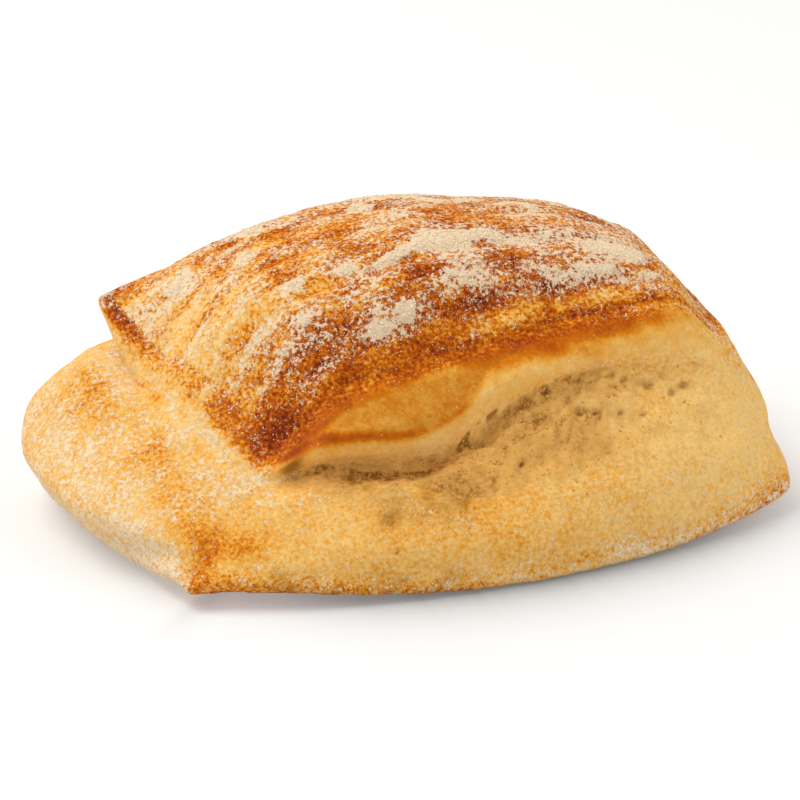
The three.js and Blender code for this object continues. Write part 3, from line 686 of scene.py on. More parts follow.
def paint(skin, torn, pores):
    """The fields that the finish is made from: bake, flour, torn crumb and the painted shade in hollows, each
    from 0 to 1, and how strongly fine grain shows in the bake. The crest's edge is blotchy, but the golden
    face hardly."""
    s, level, p = skin.s, skin.level, skin.points
    front, face = front_share(s), face_window(skin)
    side = front * front_bake(np.where(s > 3, 0, np.minimum(s, 1)), level) + (1 - front) * end_bake(s, level)
    blotchy = (1 - rise(2.4, 4, level)) * (1 - 0.8 * burst_face(s, level))
    mottle = layered("mottle", p) + front * blotchy * layered("blotches", p)
    mottle = mottle + (1 - front) * layered("end_blotches", p)
    bake = np.where(skin.on_top, top_bake(skin), side + side_strokes(s, level, SIDE_BAKE_AND_PAINTED_LIGHT) + mottle)
    crumb = torn * (1 - 0.65 * rise(0.55, 0.8, s)) * (0.85 + layered("crumb", p))
    grain = GRAIN["side"] + GRAIN["face"] * face + GRAIN["base"] * rise(7.6, 9, level)
    grain = grain + GRAIN["crest_edge"] * (1 - rise(1.4, 2.8, level)) * (1 - face)
    return {
        "bake": np.clip(bake, 0, 1),
        "flour": np.clip(flour_field(skin, torn), 0, 1),
        "torn": np.clip(crumb, 0, 1),
        "hollow_shade": np.clip(painted_shade_field(skin, torn, pores), 0, 1),
        "grain": np.where(skin.on_top, GRAIN["top"], grain),
    }


def flour_field(skin, torn):
    """How much flour lies on the crust. The top has dusty streaks, and patches whose edges noise breaks up.
    On the side most lies on the left lobe, but for its belt and bare places, at the back, at the near left
    corner and at the base, and hardly any on the burst face, the torn crumb and the crest's edge."""
    u, v, s, level, p = skin.u, skin.v, skin.s, skin.level, skin.points
    dust = DUST["top"] + layered("top_dust", p) + bell(u, 0.12, 0.16) * layered("left_streaks", p)
    patches = rise(0.15, 0.55, strokes(u, v, TOP_FLOUR) * (0.75 + layered("patch_edges", p)))
    top = dust + DUST["patches"] * patches + strokes(u, v, TOP_DUST)

    front = front_share(s)
    right = (s < 1) * rise(0.4, 0.7, s)
    bare = np.clip(strokes(s, level, LOBE_BARE), 0, 1)
    lobe = rise(3, 3.15, s) * (1 - SHED["belt"] * belt(s, level)) * (1 - bare) * rise(1.4, 4, level)
    lobe = lobe + DUST["lobe_edge"] * bell(s, 3.65, 0.025) * bell(level, 0.5, 0.7)
    near_left = (s < 1) * (1 - rise(0.02, 0.25, s)) * (1 - rise(6.2, 6.8, level))
    base = rise(7.4, 8.8, level) * (DUST["base"] + DUST["right_base"] * right)
    dust = DUST["side"] + DUST["ends"] * (1 - front) + DUST["back"] * bell(s, 2, 0.9) + DUST["lobe"] * lobe
    dust = dust + DUST["near_left"] * near_left + base + DUST["right"] * right + layered("side_dust", p)
    dust = dust + DUST["end_brow"] * (1 - front) * (1 - rise(0.3, 1.1, level))
    dust = dust * (1 - SHED["bare"] * np.where(s > 3, bare, 0))
    dust = dust + DUST["lobe_foot"] * rise(6.9, 7.5, level) * (s > 3) * (1 - rise(3.8, 3.95, s))
    crest_edge = front * (1 - rise(0.4, 1.4, level)) * (1 - rise(0.62, 0.76, s))
    side = dust * (1 - SHED["face"] * face_window(skin)) * (1 - SHED["torn"] * torn)
    return np.where(skin.on_top, top, side * (1 - SHED["crest_edge"] * crest_edge))


def painted_shade_field(skin, torn, pores):
    """Painted shade, where little light gets in: the crease under the lip at the left, which sinks to the
    right, the fold beside it, ragged pits along the tear's upper edge further on, and the pores. Weaker
    painted shade lies on the face, in the torn crumb, under the crease and along the base at the left."""
    s, level, p = skin.s, skin.level, skin.points
    below = level - (curve("crease_level", s) + layered("crease_wave", p))
    # Painted shade in the crease under the lip, with ragged edges.
    crease = window(below, -0.35, -0.15, 0.1, 0.5) * window(s, 0.05, 0.12, 0.3, 0.4)
    crease = crease * (0.75 + layered("crease_edges", p))
    # A strip of painted shade down the fold beside the crease.
    fold = bell(s, 0.06, 0.024) * bell(level, 3.8, 1.3)
    # Painted shade in ragged pits along the tear's upper edge.
    at = level + layered("pits_wave", p) + curve("pits_lift", s)
    pits = window(at, 4.92, 5.08, 5.2, 5.8) * window(s, 0.3, 0.38, 0.84, 0.92)
    pits = pits * (1 - 0.8 * rise(0.5, 0.7, s)) * rise(-0.2, 0.4, layered("pits", p))
    # Weaker painted shade: the faint strokes, a band along the base at the left, and an even darkening of the
    # burst face.
    base = rise(7.3, 8.2, level) * window(s, 0.04, 0.12, 0.35, 0.5)
    painted_shades = strokes(s, level, PAINTED_SHADE_STROKES) + PAINTED_SHADE["base"] * base
    painted_shades = painted_shades * (0.8 + layered("painted_shades", p)) + PAINTED_SHADE["face"] * burst_face(s, level)
    # Blotches of painted shade in the torn crumb.
    shade_blotches = rise(0.2, 0.6, layered("shade_blotches", p)) * torn * (1 - 0.7 * rise(0.6, 0.75, s))
    on_front = PAINTED_SHADE["crease"] * crease + fold + PAINTED_SHADE["pits"] * pits + painted_shades
    return np.where(s < 1, on_front, 0) * ~skin.on_top + PAINTED_SHADE["shade_blotches"] * shade_blotches + pores


def roll_skin():
    """The whole crust: the part's form and relief, set in the part's box, with finer relief and paint."""
    skin = Skin()
    torn = tornness(skin)
    skin.move(coarse_relief(skin, torn))
    lowest, highest = np.array(CAD_BOX)[:, :2] / MM
    middle = (skin.points[:, :2].min(0) + skin.points[:, :2].max(0)) / 2
    skin.points[:, :2] += (lowest + highest) / 2 - middle
    pores = pore_field(skin)
    paints = paint(skin, torn, pores)
    skin.move(fine_relief(skin, torn, paints["flour"], pores))
    return skin, paints


# ---- Meshes.


def new_mesh(name, points, quads=(), triangles=()):
    """A mesh object at the origin, from points in millimetres and arrays of faces."""
    loops = np.concatenate([np.ravel(quads), np.ravel(triangles)]).astype(np.int32)
    sizes = np.concatenate([np.full(len(quads), 4), np.full(len(triangles), 3)]).astype(np.int32)
    mesh = bpy.data.meshes.new(name)
    mesh.vertices.add(len(points))
    mesh.vertices.foreach_set("co", np.ravel(points * MM).astype(np.float32))
    mesh.loops.add(len(loops))
    mesh.loops.foreach_set("vertex_index", loops)
    mesh.polygons.add(len(sizes))
    mesh.polygons.foreach_set("loop_start", np.concatenate([[0], np.cumsum(sizes)[:-1]]).astype(np.int32))
    mesh.polygons.foreach_set("use_smooth", np.ones(len(sizes), bool))
    mesh.update(calc_edges=True)
    mesh.validate()
    piece = bpy.data.objects.new(name, mesh)
    bpy.context.scene.collection.objects.link(piece)
    return piece


def set_field(piece, name, values):
    """Stores one number for each point of a piece, for its material."""
    field = piece.data.attributes.new(name, "FLOAT", "POINT")
    field.data.foreach_set("value", values.astype(np.float32))


def triangles_of(skin):
    """The skin's faces, each quad cut in two."""
    q = skin.quads
    return np.concatenate([q[:, [0, 1, 2]], q[:, [0, 2, 3]], skin.fan])


def scatter(skin, weight, count, rng):
    """Random places on the skin: triangles are drawn by area times weight, and places in each evenly, by
    square roots. Gives the points and their normals."""
    faces = triangles_of(skin)
    a, b, c = (skin.points[faces[:, i]] for i in range(3))
    cross = np.cross(b - a, c - a)
    chance = np.linalg.norm(cross, axis=1) * weight[faces].mean(1)
    chosen = rng.choice(len(faces), count, p=chance / chance.sum())
    root, other = np.sqrt(rng.random(count))[:, None], rng.random(count)[:, None]
    places = a[chosen] * (1 - root) + b[chosen] * root * (1 - other) + c[chosen] * root * other
    normals = cross[chosen] / np.linalg.norm(cross[chosen], axis=1, keepdims=True)
    return places, normals


OCTAHEDRON = np.array([[1, 0, 0], [-1, 0, 0], [0, 1, 0], [0, -1, 0], [0, 0, 1], [0, 0, -1]], float)
OCTAHEDRON_FACES = np.array([[0, 2, 4], [2, 1, 4], [1, 3, 4], [3, 0, 4],
                             [2, 0, 5], [1, 2, 5], [3, 1, 5], [0, 3, 5]])


def turned(normals, rng):
    """Three axes for each normal: the normal itself, and two square to it, turned by a random angle."""
    helper = np.where(np.abs(normals[:, 2:]) < 0.9, (0.0, 0.0, 1.0), (1.0, 0.0, 0.0))
    first = np.cross(helper, normals)
    first /= np.linalg.norm(first, axis=1, keepdims=True)
    second = np.cross(normals, first)
    angle = rng.random(len(normals))[:, None] * 2 * math.pi
    cosine, sine = np.cos(angle), np.sin(angle)
    return first * cosine + second * sine, second * cosine - first * sine, normals


def grains(name, places, normals, sizes, flatness, uneven, rng):
    """A mesh of many small nuggets: each an octahedron whose corners are pushed in or out at random, laid
    flat on its place."""
    axes = turned(normals, rng)
    corners = OCTAHEDRON[None] * (1 + uneven * (rng.random((len(places), 6, 1)) * 2 - 1))
    corners = corners * sizes[:, None, None]
    corners[:, :, 2] *= flatness
    spots = places[:, None] + sum(corners[:, :, i, None] * axes[i][:, None] for i in range(3))
    faces = (OCTAHEDRON_FACES[None] + 6 * np.arange(len(places))[:, None, None]).reshape(-1, 3)
    piece = new_mesh(name, spots.reshape(-1, 3), triangles=faces)
    set_field(piece, "tone", np.repeat(rng.random(len(places)), 6))
    return piece


# ---- Finishes.


def screen_colour(red, green, blue):
    """A colour as seen on a screen, 0 to 255 a channel, as linear light, by the screen's standard curve."""
    shares = np.array([red, green, blue]) / 255
    linear = np.where(shares <= 0.04045, shares / 12.92, ((shares + 0.055) / 1.055) ** 2.4)
    return tuple(float(x) for x in linear)


def add_node(tree, kind, settings=(), **inputs):
    """Adds a node. Each input is named as the socket is, and given as a value or as another node's output."""
    node = tree.nodes.new(kind)
    for key, value in dict(settings).items():
        setattr(node, key, value)
    for key, value in inputs.items():
        set_socket(tree, node.inputs[key.replace("_", " ")], value)
    return node


def set_socket(tree, socket, value):
    """Links an output to a socket, or gives the socket a value."""
    if isinstance(value, bpy.types.NodeSocket):
        tree.links.new(value, socket)
    elif socket.type == "RGBA" and len(value) == 3:
        socket.default_value = (*value, 1)
    else:
        socket.default_value = value


def sum_up(tree, operation, *values):
    """A Math node's result."""
    node = tree.nodes.new("ShaderNodeMath")
    node.operation = operation
    for socket, value in zip(node.inputs, values):
        set_socket(tree, socket, value)
    return node.outputs[0]


def ramp(tree, value, start, end, low=0.0, high=1.0):
    """A smooth step of a value from start to end, given as low to high."""
    node = add_node(tree, "ShaderNodeMapRange", {"interpolation_type": "SMOOTHSTEP"}, Value=value)
    for name, number in (("From Min", start), ("From Max", end), ("To Min", low), ("To Max", high)):
        node.inputs[name].default_value = number
    return node.outputs["Result"]


def mixed(tree, share, first, second, blend="MIX"):
    """Two colours mixed, with the second's share."""
    node = tree.nodes.new("ShaderNodeMix")
    node.data_type = "RGBA"
    node.blend_type = blend
    for socket, value in zip((node.inputs[0], node.inputs[6], node.inputs[7]), (share, first, second)):
        set_socket(tree, socket, value)
    return node.outputs[2]


def coordinates(tree):
    """Object coordinates, in metres."""
    return tree.nodes.new("ShaderNodeTexCoord").outputs["Object"]


def shader_noise(tree, size_mm, detail=2.0, roughness=0.6):
    """Noise with lumps of a size in millimetres, from 0 to 1."""
    node = add_node(tree, "ShaderNodeTexNoise", Vector=coordinates(tree), Scale=1 / (size_mm * MM),
                    Detail=detail, Roughness=roughness)
    return node.outputs["Fac"]


def attribute(tree, name):
    """A field that the mesh holds."""
    node = tree.nodes.new("ShaderNodeAttribute")
    node.attribute_name = name
    return node.outputs["Fac"]


def new_group(name, inputs, outputs):
    """An empty shader node group with named float or colour inputs and outputs, with its two end nodes."""
    tree = bpy.data.node_groups.new(name, "ShaderNodeTree")
    for socket, kind, value in inputs:
        made = tree.interface.new_socket(socket, in_out="INPUT", socket_type=kind)
        made.default_value = (*value, 1) if kind == "NodeSocketColor" else value
    for socket, kind in outputs:
        tree.interface.new_socket(socket, in_out="OUTPUT", socket_type=kind)
    return tree, tree.nodes.new("NodeGroupInput"), tree.nodes.new("NodeGroupOutput")


FLOAT, COLOUR = "NodeSocketFloat", "NodeSocketColor"


def flour_group():
    """Flour stuck to a surface. The flour's amount sets how much of a ragged noise stands clear and is white,
    and single grains are dots at the random middles of cells, each as large as the amount less its number."""
    tree, start, end = new_group("Flour_grains", [("Flour", FLOAT, 0.3), ("Size", FLOAT, 0.4)],
                                 [("Mask", FLOAT), ("Height", FLOAT)])
    scale = sum_up(tree, "DIVIDE", 1 / MM, start.outputs["Size"])
    noise_node = add_node(tree, "ShaderNodeTexNoise", Vector=coordinates(tree), Scale=scale, Detail=3.0,
                          Roughness=0.75)
    raised = sum_up(tree, "MULTIPLY_ADD", start.outputs["Flour"], 0.4, noise_node.outputs["Fac"])
    caked = ramp(tree, raised, 0.66, 0.78)
    cells = add_node(tree, "ShaderNodeTexVoronoi", Vector=coordinates(tree), Scale=scale)
    number = add_node(tree, "ShaderNodeSeparateColor", Color=cells.outputs["Color"]).outputs[0]
    radius = sum_up(tree, "SUBTRACT", start.outputs["Flour"], number)
    grain = ramp(tree, sum_up(tree, "SUBTRACT", radius, cells.outputs["Distance"]), -0.12, 0.2, 0.0, 0.85)
    mask = sum_up(tree, "MAXIMUM", caked, grain)
    set_socket(tree, end.inputs["Mask"], mask)
    set_socket(tree, end.inputs["Height"], mask)


def grain_group():
    """Uneven colour: the colour times a lightness that changes with noise, a little warmer where dark."""
    inputs = [("Colour", COLOUR, (0.8, 0.8, 0.8)), ("Size", FLOAT, 0.5), ("Amount", FLOAT, 0.3)]
    tree, start, end = new_group("Uneven_colour", inputs, [("Colour", COLOUR)])
    scale = sum_up(tree, "DIVIDE", 1 / MM, start.outputs["Size"])
    noise_node = add_node(tree, "ShaderNodeTexNoise", Vector=coordinates(tree), Scale=scale, Detail=2.0,
                          Roughness=0.7)
    swing = sum_up(tree, "MULTIPLY", sum_up(tree, "SUBTRACT", noise_node.outputs["Fac"], 0.5), 2.4)
    light = sum_up(tree, "MULTIPLY_ADD", swing, start.outputs["Amount"], 1.0)
    shade = add_node(tree, "ShaderNodeCombineColor", Red=light, Green=light,
                     Blue=sum_up(tree, "POWER", light, 1.25))
    shaded = mixed(tree, 1.0, start.outputs["Colour"], shade.outputs[0], "MULTIPLY")
    set_socket(tree, end.inputs["Colour"], shaded)


def use_group(tree, name, **inputs):
    """Places a node group in a material, with its own values."""
    node = tree.nodes.new("ShaderNodeGroup")
    node.node_tree = bpy.data.node_groups[name]
    for key, value in inputs.items():
        set_socket(tree, node.inputs[key], value)
    return node


def new_material(name):
    """A material with nothing but a shader and output. Gives the material, its tree and the shader."""
    material = bpy.data.materials.new(name)
    material.use_nodes = True
    tree = material.node_tree
    return material, tree, tree.nodes["Principled BSDF"]


def colour_scale(tree, value, stops):
    """A colour for each value, from stops of (value, colour)."""
    node = tree.nodes.new("ShaderNodeValToRGB")
    tree.links.new(value, node.inputs["Fac"])
    while len(node.color_ramp.elements) < len(stops):
        node.color_ramp.elements.new(0.5)
    for element, (place, colour) in zip(node.color_ramp.elements, stops):
        element.position = place
        element.color = (*colour, 1)
    return node.outputs["Color"]


# Noise in the crust's finish, as (size in millimetres, detail, roughness).
SPECKLE = (0.58, 2.0, 0.6)
BROKEN_HOLLOWS = (0.9, 3.0, 0.65)
ROUGH_SKIN = (0.45, 3.0, 0.7)


def crust_material(colours):
    """Baked crust, torn crumb and flour, laid over each other by the fields that the mesh holds. The bake is
    speckled by its grain. Painted shade in the hollows, the crease and on the burst face mixes the surface
    towards its own brown, and noise breaks it up in the torn crumb. All is a little uneven in lightness, and
    the bump is rough skin with flour standing on it and hollows sunk in it."""
    material, tree, shader = new_material("Floured_crust")
    speckle = sum_up(tree, "SUBTRACT", shader_noise(tree, *SPECKLE), 0.5)
    bake = sum_up(tree, "MULTIPLY_ADD", speckle, attribute(tree, "grain"), attribute(tree, "bake"))
    crust = colour_scale(tree, bake, ((0, colours.pale), (0.3, colours.golden), (0.48, colours.orange),
                                      (0.66, colours.brown), (0.84, colours.deep), (1, colours.dark)))
    crumb = use_group(tree, "Uneven_colour", Colour=tuple(colours.crumb), Size=1.6, Amount=0.22).outputs[0]
    torn = ramp(tree, attribute(tree, "torn"), 0.2, 0.8)
    surface = mixed(tree, torn, crust, crumb)
    # Painted shade: the shaded-hollows field, broken up by noise in the torn crumb, mixes the surface towards
    # the shade's brown.
    swing = ramp(tree, shader_noise(tree, *BROKEN_HOLLOWS), 0.22, 0.78, -0.85, 0.85)
    swing = sum_up(tree, "MULTIPLY", swing, torn)
    broken = sum_up(tree, "MULTIPLY", attribute(tree, "hollow_shade"), sum_up(tree, "ADD", swing, 1.0))
    hollow_shade = ramp(tree, broken, 0.05, 1.0, 0.0, 0.85)
    surface = mixed(tree, hollow_shade, surface, tuple(colours.hollow_shade))
    surface = use_group(tree, "Uneven_colour", Colour=surface, Size=0.85, Amount=0.14).outputs[0]
    flour = use_group(tree, "Flour_grains", Flour=attribute(tree, "flour"), Size=0.72)
    powder = use_group(tree, "Uneven_colour", Colour=tuple(colours.flour), Size=0.4, Amount=0.2).outputs[0]
    cover = sum_up(tree, "MULTIPLY", flour.outputs["Mask"], 0.86)
    tree.links.new(mixed(tree, cover, surface, powder), shader.inputs["Base Color"])
    set_socket(tree, shader.inputs["Roughness"], ramp(tree, attribute(tree, "flour"), 0, 0.3, 0.5, 0.85))
    shader.inputs["Specular IOR Level"].default_value = 0.05
    rough = sum_up(tree, "MULTIPLY", shader_noise(tree, *ROUGH_SKIN), 0.6)
    height = sum_up(tree, "ADD", rough, sum_up(tree, "MULTIPLY", flour.outputs["Height"], 0.5))
    height = sum_up(tree, "SUBTRACT", height, sum_up(tree, "MULTIPLY", broken, 0.8))
    bump = add_node(tree, "ShaderNodeBump", Height=height, Strength=0.55, Distance=0.25 * MM)
    tree.links.new(bump.outputs[0], shader.inputs["Normal"])
    return material


def powder_material(name, colour, roughness):
    """Small dry nuggets of one colour, each a little lighter or darker than the next."""
    material, tree, shader = new_material(name)
    tone = sum_up(tree, "MULTIPLY_ADD", attribute(tree, "tone"), 0.25, 0.88)
    even = use_group(tree, "Uneven_colour", Colour=tuple(colour), Size=0.3, Amount=0.15).outputs[0]
    shade = add_node(tree, "ShaderNodeCombineColor", Red=tone, Green=tone, Blue=tone).outputs[0]
    tree.links.new(mixed(tree, 1.0, even, shade, "MULTIPLY"), shader.inputs["Base Color"])
    shader.inputs["Roughness"].default_value = roughness
    shader.inputs["Specular IOR Level"].default_value = 0.2
    return material


def finish_piece(piece, material):
    """Gives a piece its finish, and says what it belongs to."""
    piece.data.materials.append(material)
    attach(piece, BODY)


# ---- Settings, as a user changes them.


def colour_property(name, description, *screen):
    """A colour setting with a default given as it looks on a screen."""
    return FloatVectorProperty(name=name, description=description, subtype="COLOR", size=3, min=0, max=1,
                               default=screen_colour(*screen))


def length_property(name, description, millimetres):
    """A length setting."""
    return FloatProperty(name=name, description=description, default=millimetres * MM, unit="LENGTH",
                         subtype="DISTANCE")


def count_property(name, description, default, most):
    """A setting for how many there are."""
    return IntProperty(name=name, description=description, default=default, min=0, max=most)


def angle_property(name, description, degrees):
    """An angle setting."""
    return FloatProperty(name=name, description=description, default=math.radians(degrees), subtype="ANGLE")


def strength_property(name, description, default, unit="NONE"):
    """A setting for the strength of a light."""
    return FloatProperty(name=name, description=description, default=default, min=0, unit=unit)


class CrustColours(bpy.types.PropertyGroup):
    """The colours of the crust, from unbaked to almost burnt, of the crumb and flour, and of the painted
    shade.
    """

    pale: colour_property("Pale", "Crust that hardly browned", 243, 200, 122)
    golden: colour_property("Golden", "Lightly baked crust", 232, 164, 62)
    orange: colour_property("Orange", "Well baked crust", 210, 118, 12)
    brown: colour_property("Brown", "Dark crust", 180, 84, 10)
    deep: colour_property("Deep brown", "Very dark crust", 148, 60, 12)
    dark: colour_property("Darkest", "The corners that caught the heat", 112, 38, 12)
    crumb: colour_property("Crumb", "The torn inside", 218, 164, 86)
    # The brown of the painted shade in the pores, the crease and the other hollows.
    hollow_shade: colour_property("Hollow", "Deep pores and the crease", 134, 80, 14)
    flour: colour_property("Flour", "Flour baked onto the crust", 238, 217, 184)


class DustSettings(bpy.types.PropertyGroup):
    """What is scattered over the crust."""

    grains: count_property("Flour grains", "How many loose grains of flour lie on the crust", 22000, 24000)
    grain_size: length_property("Grain size", "Largest radius of a flour grain", 0.12)
    clumps: count_property("Flour clumps", "How many nuggets of caked flour lie in the patches", 2600, 20000)
    clump_size: length_property("Clump size", "Largest radius of a nugget of flour", 0.36)
    crumbs: count_property("Crumbs", "How many torn crumbs cling in the tear", 500, 20000)
    crumb_size: length_property("Crumb size", "Largest radius of a crumb", 0.4)
    seed: IntProperty(name="Seed", description="Starts the random draws", default=7)


class StageSettings(bpy.types.PropertyGroup):
    """The floor, the light and the camera."""

    floor: colour_property("Floor", "The floor's colour", 202, 202, 202)
    glow: strength_property("Floor glow", "Light that the floor gives off", 0.36)
    sky: strength_property("Sky", "Strength of the even light from all round", 0.5)
    key: strength_property("Key light", "Strength of the large light from the upper left", 6.6, "POWER")
    fill: strength_property("Fill light", "Strength of the weak light from the right", 1.9, "POWER")
    azimuth: angle_property("Camera azimuth", "How far round the camera stands, from the front", -23)
    elevation: angle_property("Camera elevation", "How far the camera looks down", 22)
    distance: length_property("Camera distance", "From the camera to what it looks at", 550)
    lens: FloatProperty(name="Lens", description="Focal length in millimetres", default=163.2, min=1)


# ---- Makers.

SHARED = {}


def shared_skin():
    """The worked-out surface and its paint, kept between the makers because it takes a while."""
    if not SHARED:
        SHARED["skin"], SHARED["paints"] = roll_skin()
    return SHARED["skin"], SHARED["paints"]


class MakeCrust(bpy.types.Operator):
    """Makes the roll itself: crust, burst face, torn crumb and sole, as one closed skin"""

    bl_idname = "roll.make_crust"
    bl_label = "Make crust"

    def execute(self, context):
        skin, paints = shared_skin()
        flour_group()
        grain_group()
        piece = new_mesh("crust_skin", skin.points, skin.quads, skin.fan)
        for name, values in paints.items():
            set_field(piece, name, values)
        finish_piece(piece, crust_material(context.scene.crust_colours))
        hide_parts(NODE)
        return {"FINISHED"}


# For each scattered piece: the smallest size as a share of the largest, the power that the draw of a size is
# raised to, how flat the nuggets lie, how uneven they are, and what is added to the seed.
NUGGETS = {
    "flour_grains": {"smallest": 0.45, "power": 1, "flatness": 0.7, "uneven": 0.3, "seed": 0},
    "flour_clumps": {"smallest": 0.35, "power": 2, "flatness": 0.45, "uneven": 0.35, "seed": 1},
    "torn_crumbs": {"smallest": 0.3, "power": 2, "flatness": 0.6, "uneven": 0.4, "seed": 2},
}
# The flour above which it is caked, and the levels down to which grains and clumps lie.
CAKED_FROM = 0.55
GRAINS_END, CLUMPS_END = 9.6, 9


def sprinkle(name, weight, count, largest, finish):
    """Scatters a piece of nuggets over the crust by weight, and gives it its powder finish."""
    nugget = NUGGETS[name]
    rng = np.random.default_rng(bpy.context.scene.roll_dust.seed + nugget["seed"])
    places, normals = scatter(shared_skin()[0], weight, count, rng)
    smallest = nugget["smallest"]
    sizes = largest / MM * (smallest + (1 - smallest) * rng.random(count) ** nugget["power"])
    piece = grains(name, places, normals, sizes, nugget["flatness"], nugget["uneven"], rng)
    finish_piece(piece, powder_material(*finish))


class MakeFlourGrains(bpy.types.Operator):
    """Scatters loose grains of flour over the crust, thickest where it is floured"""

    bl_idname = "roll.make_flour_grains"
    bl_label = "Make flour grains"

    def execute(self, context):
        dust, colours = context.scene.roll_dust, context.scene.crust_colours
        skin, paints = shared_skin()
        weight = paints["flour"] * (skin.level < GRAINS_END)
        sprinkle("flour_grains", weight, dust.grains, dust.grain_size, ("Flour_dust", colours.flour, 0.9))
        return {"FINISHED"}


class MakeFlourClumps(bpy.types.Operator):
    """Sets nuggets of caked flour in the patches on the top"""

    bl_idname = "roll.make_flour_clumps"
    bl_label = "Make flour clumps"

    def execute(self, context):
        dust, colours = context.scene.roll_dust, context.scene.crust_colours
        skin, paints = shared_skin()
        weight = np.clip(paints["flour"] - CAKED_FROM, 0, 1) ** 1.5 * (skin.level < CLUMPS_END)
        sprinkle("flour_clumps", weight, dust.clumps, dust.clump_size, ("Caked_flour", colours.flour, 0.9))
        return {"FINISHED"}


class MakeCrumbs(bpy.types.Operator):
    """Lays torn crumbs in the tear under the lip"""

    bl_idname = "roll.make_crumbs"
    bl_label = "Make crumbs"

    def execute(self, context):
        dust, colours = context.scene.roll_dust, context.scene.crust_colours
        weight = shared_skin()[1]["torn"] ** 2
        sprinkle("torn_crumbs", weight, dust.crumbs, dust.crumb_size, ("Torn_crumb", colours.crumb, 0.85))
        return {"FINISHED"}


# How far from the rim each ring of the floor lies, and the painted shadow round the roll: how deep it is,
# what changes this, the distance in which it fades by a power of e, where it ends, and how clear the middle
# is.
FLOOR_RINGS = (-12, -4, 0, 1, 2, 3.5, 5, 7, 9.5, 12.5, 16, 21, 28, 60, 3000)
SHADE = {"depth": 0.26, "front": 0.44, "right": -0.14, "lifted": 0.22, "reach": 6.5, "end": 50, "middle": 0.4}

# The lights and what they light, in metres, and the camera's aim from there, in millimetres.
LIGHT_SIZE = 0.6
KEY_LIGHT = {"place": (-0.42, 0.26, 0.8), "colour": (1, 0.98, 0.94)}
FILL_LIGHT = {"place": (0.6, -0.5, 0.5), "colour": (1, 0.99, 0.96)}
LIT_HEIGHT = 0.015
AIM_SHIFT = (0.3, 1.45, 0)


def soft_light(name, place, colour, aim, power):
    """A square area light at a place, turned to what it lights. All in metres."""
    lamp = bpy.data.lights.new(name, "AREA")
    lamp.shape = "SQUARE"
    lamp.size = LIGHT_SIZE
    lamp.energy = power
    lamp.color = colour
    light = bpy.data.objects.new(name, lamp)
    light.location = place
    light.rotation_euler = (aim - Vector(place)).to_track_quat("-Z", "Y").to_euler()
    bpy.context.scene.collection.objects.link(light)


def floor_round(skin):
    """A floor of rings round the rim, with a painted shadow. Its field tells how clear of the soft shade
    round the
    roll each point is: the shade is deeper in front, and lighter at the right and where the rim lifts."""
    rim = skin.level == LEVEL_RIM
    outline, outward = skin.points[rim] * (1, 1, 0), outward_at(skin.s[rim])
    away = np.array(FLOOR_RINGS)
    points = outline[None] + away[:, None, None] * np.column_stack([outward, np.zeros(len(outward))])
    index = np.arange(points.shape[0] * points.shape[1]).reshape(points.shape[:2])
    after = np.roll(index, -1, axis=1)
    quads = np.stack([index[1:], after[1:], after[:-1], index[:-1]], -1).reshape(-1, 4)
    hub = np.stack([after[0], np.full(index.shape[1], index.size), index[0]], -1)
    floor = new_mesh("floor", np.concatenate([points.reshape(-1, 3), [[0, 0, 0]]]), quads, hub)
    lifted = np.clip(1 - SHADE["lifted"] * skin.points[rim][:, 2], 0, 1)
    depth = (SHADE["depth"] - SHADE["front"] * outward[:, 1]) * lifted
    depth = depth + SHADE["right"] * np.maximum(outward[:, 0], 0)
    fade = np.exp(-np.maximum(away, 0) / SHADE["reach"]) * (away < SHADE["end"])
    set_field(floor, "clear", np.append(1 - np.outer(fade, depth), SHADE["middle"]))
    return floor


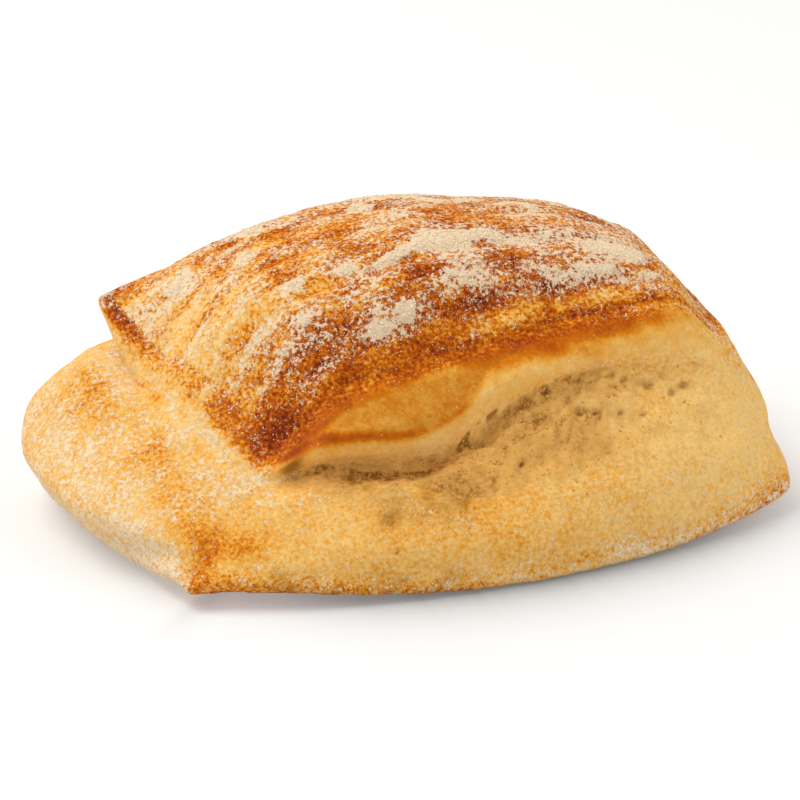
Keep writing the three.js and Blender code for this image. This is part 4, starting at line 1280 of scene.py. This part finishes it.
class MakeStage(bpy.types.Operator):
    """Makes the pale floor, the soft light and the camera"""

    bl_idname = "roll.make_stage"
    bl_label = "Make stage"

    def execute(self, context):
        stage = context.scene.roll_stage
        scene = context.scene
        floor = floor_round(shared_skin()[0])
        material, tree, shader = new_material("White_floor")
        # The painted shadow round the roll darkens both the floor's colour and its glow.
        clear = attribute(tree, "clear")
        grey = add_node(tree, "ShaderNodeCombineColor", Red=clear, Green=clear, Blue=clear).outputs[0]
        tree.links.new(mixed(tree, 1.0, tuple(stage.floor), grey, "MULTIPLY"), shader.inputs["Base Color"])
        tree.links.new(grey, shader.inputs["Emission Color"])
        shader.inputs["Emission Strength"].default_value = stage.glow
        shader.inputs["Roughness"].default_value = 1
        shader.inputs["Specular IOR Level"].default_value = 0
        floor.data.materials.append(material)

        world = bpy.data.worlds.new("Studio")
        world.use_nodes = True
        background = world.node_tree.nodes["Background"]
        background.inputs["Color"].default_value = (1, 1, 1, 1)
        background.inputs["Strength"].default_value = stage.sky
        scene.world = world
        scene.view_settings.view_transform = "Standard"

        middle = Vector([(low + high) / 2 for low, high in zip(*CAD_BOX)][:2] + [LIT_HEIGHT])
        soft_light("Key", aim=middle, power=stage.key, **KEY_LIGHT)
        soft_light("Fill", aim=middle, power=stage.fill, **FILL_LIGHT)

        aim = middle + Vector(AIM_SHIFT) * MM
        turn, lift = stage.azimuth, stage.elevation
        back = Vector((math.sin(turn) * math.cos(lift), -math.cos(turn) * math.cos(lift), math.sin(lift)))
        camera = bpy.data.cameras.new("Camera")
        camera.lens = stage.lens
        camera.sensor_width = 36
        camera.clip_start = 0.01
        viewer = bpy.data.objects.new("Camera", camera)
        viewer.location = aim + back * stage.distance
        viewer.rotation_euler = (-back).to_track_quat("-Z", "Y").to_euler()
        scene.collection.objects.link(viewer)
        scene.camera = viewer
        return {"FINISHED"}


MAKERS = (MakeCrust, MakeFlourGrains, MakeFlourClumps, MakeCrumbs, MakeStage)


class RollPanel(bpy.types.Panel):
    """Lists the settings and the makers in the sidebar"""

    bl_idname = "VIEW3D_PT_sourdough_roll"
    bl_label = "Sourdough roll"
    bl_space_type = "VIEW_3D"
    bl_region_type = "UI"
    bl_category = "Roll"

    def draw(self, context):
        layout = self.layout
        for settings in (context.scene.crust_colours, context.scene.roll_dust, context.scene.roll_stage):
            box = layout.box()
            for name in settings.__annotations__:
                box.prop(settings, name)
        for maker in MAKERS:
            layout.operator(maker.bl_idname)


CLASSES = (CrustColours, DustSettings, StageSettings, *MAKERS, RollPanel)


def register():
    """Registers the classes, and hangs the settings on the scene."""
    for cls in CLASSES:
        bpy.utils.register_class(cls)
    bpy.types.Scene.crust_colours = PointerProperty(type=CrustColours)
    bpy.types.Scene.roll_dust = PointerProperty(type=DustSettings)
    bpy.types.Scene.roll_stage = PointerProperty(type=StageSettings)


def unregister():
    """Takes the settings and the classes away again."""
    del bpy.types.Scene.roll_stage
    del bpy.types.Scene.roll_dust
    del bpy.types.Scene.crust_colours
    for cls in reversed(CLASSES):
        bpy.utils.unregister_class(cls)


def main():
    """Makes every piece and the stage."""
    register()
    bpy.ops.roll.make_stage()
    bpy.ops.roll.make_crust()
    bpy.ops.roll.make_flour_grains()
    bpy.ops.roll.make_flour_clumps()
    bpy.ops.roll.make_crumbs()


if __name__ == "__main__":
    main()
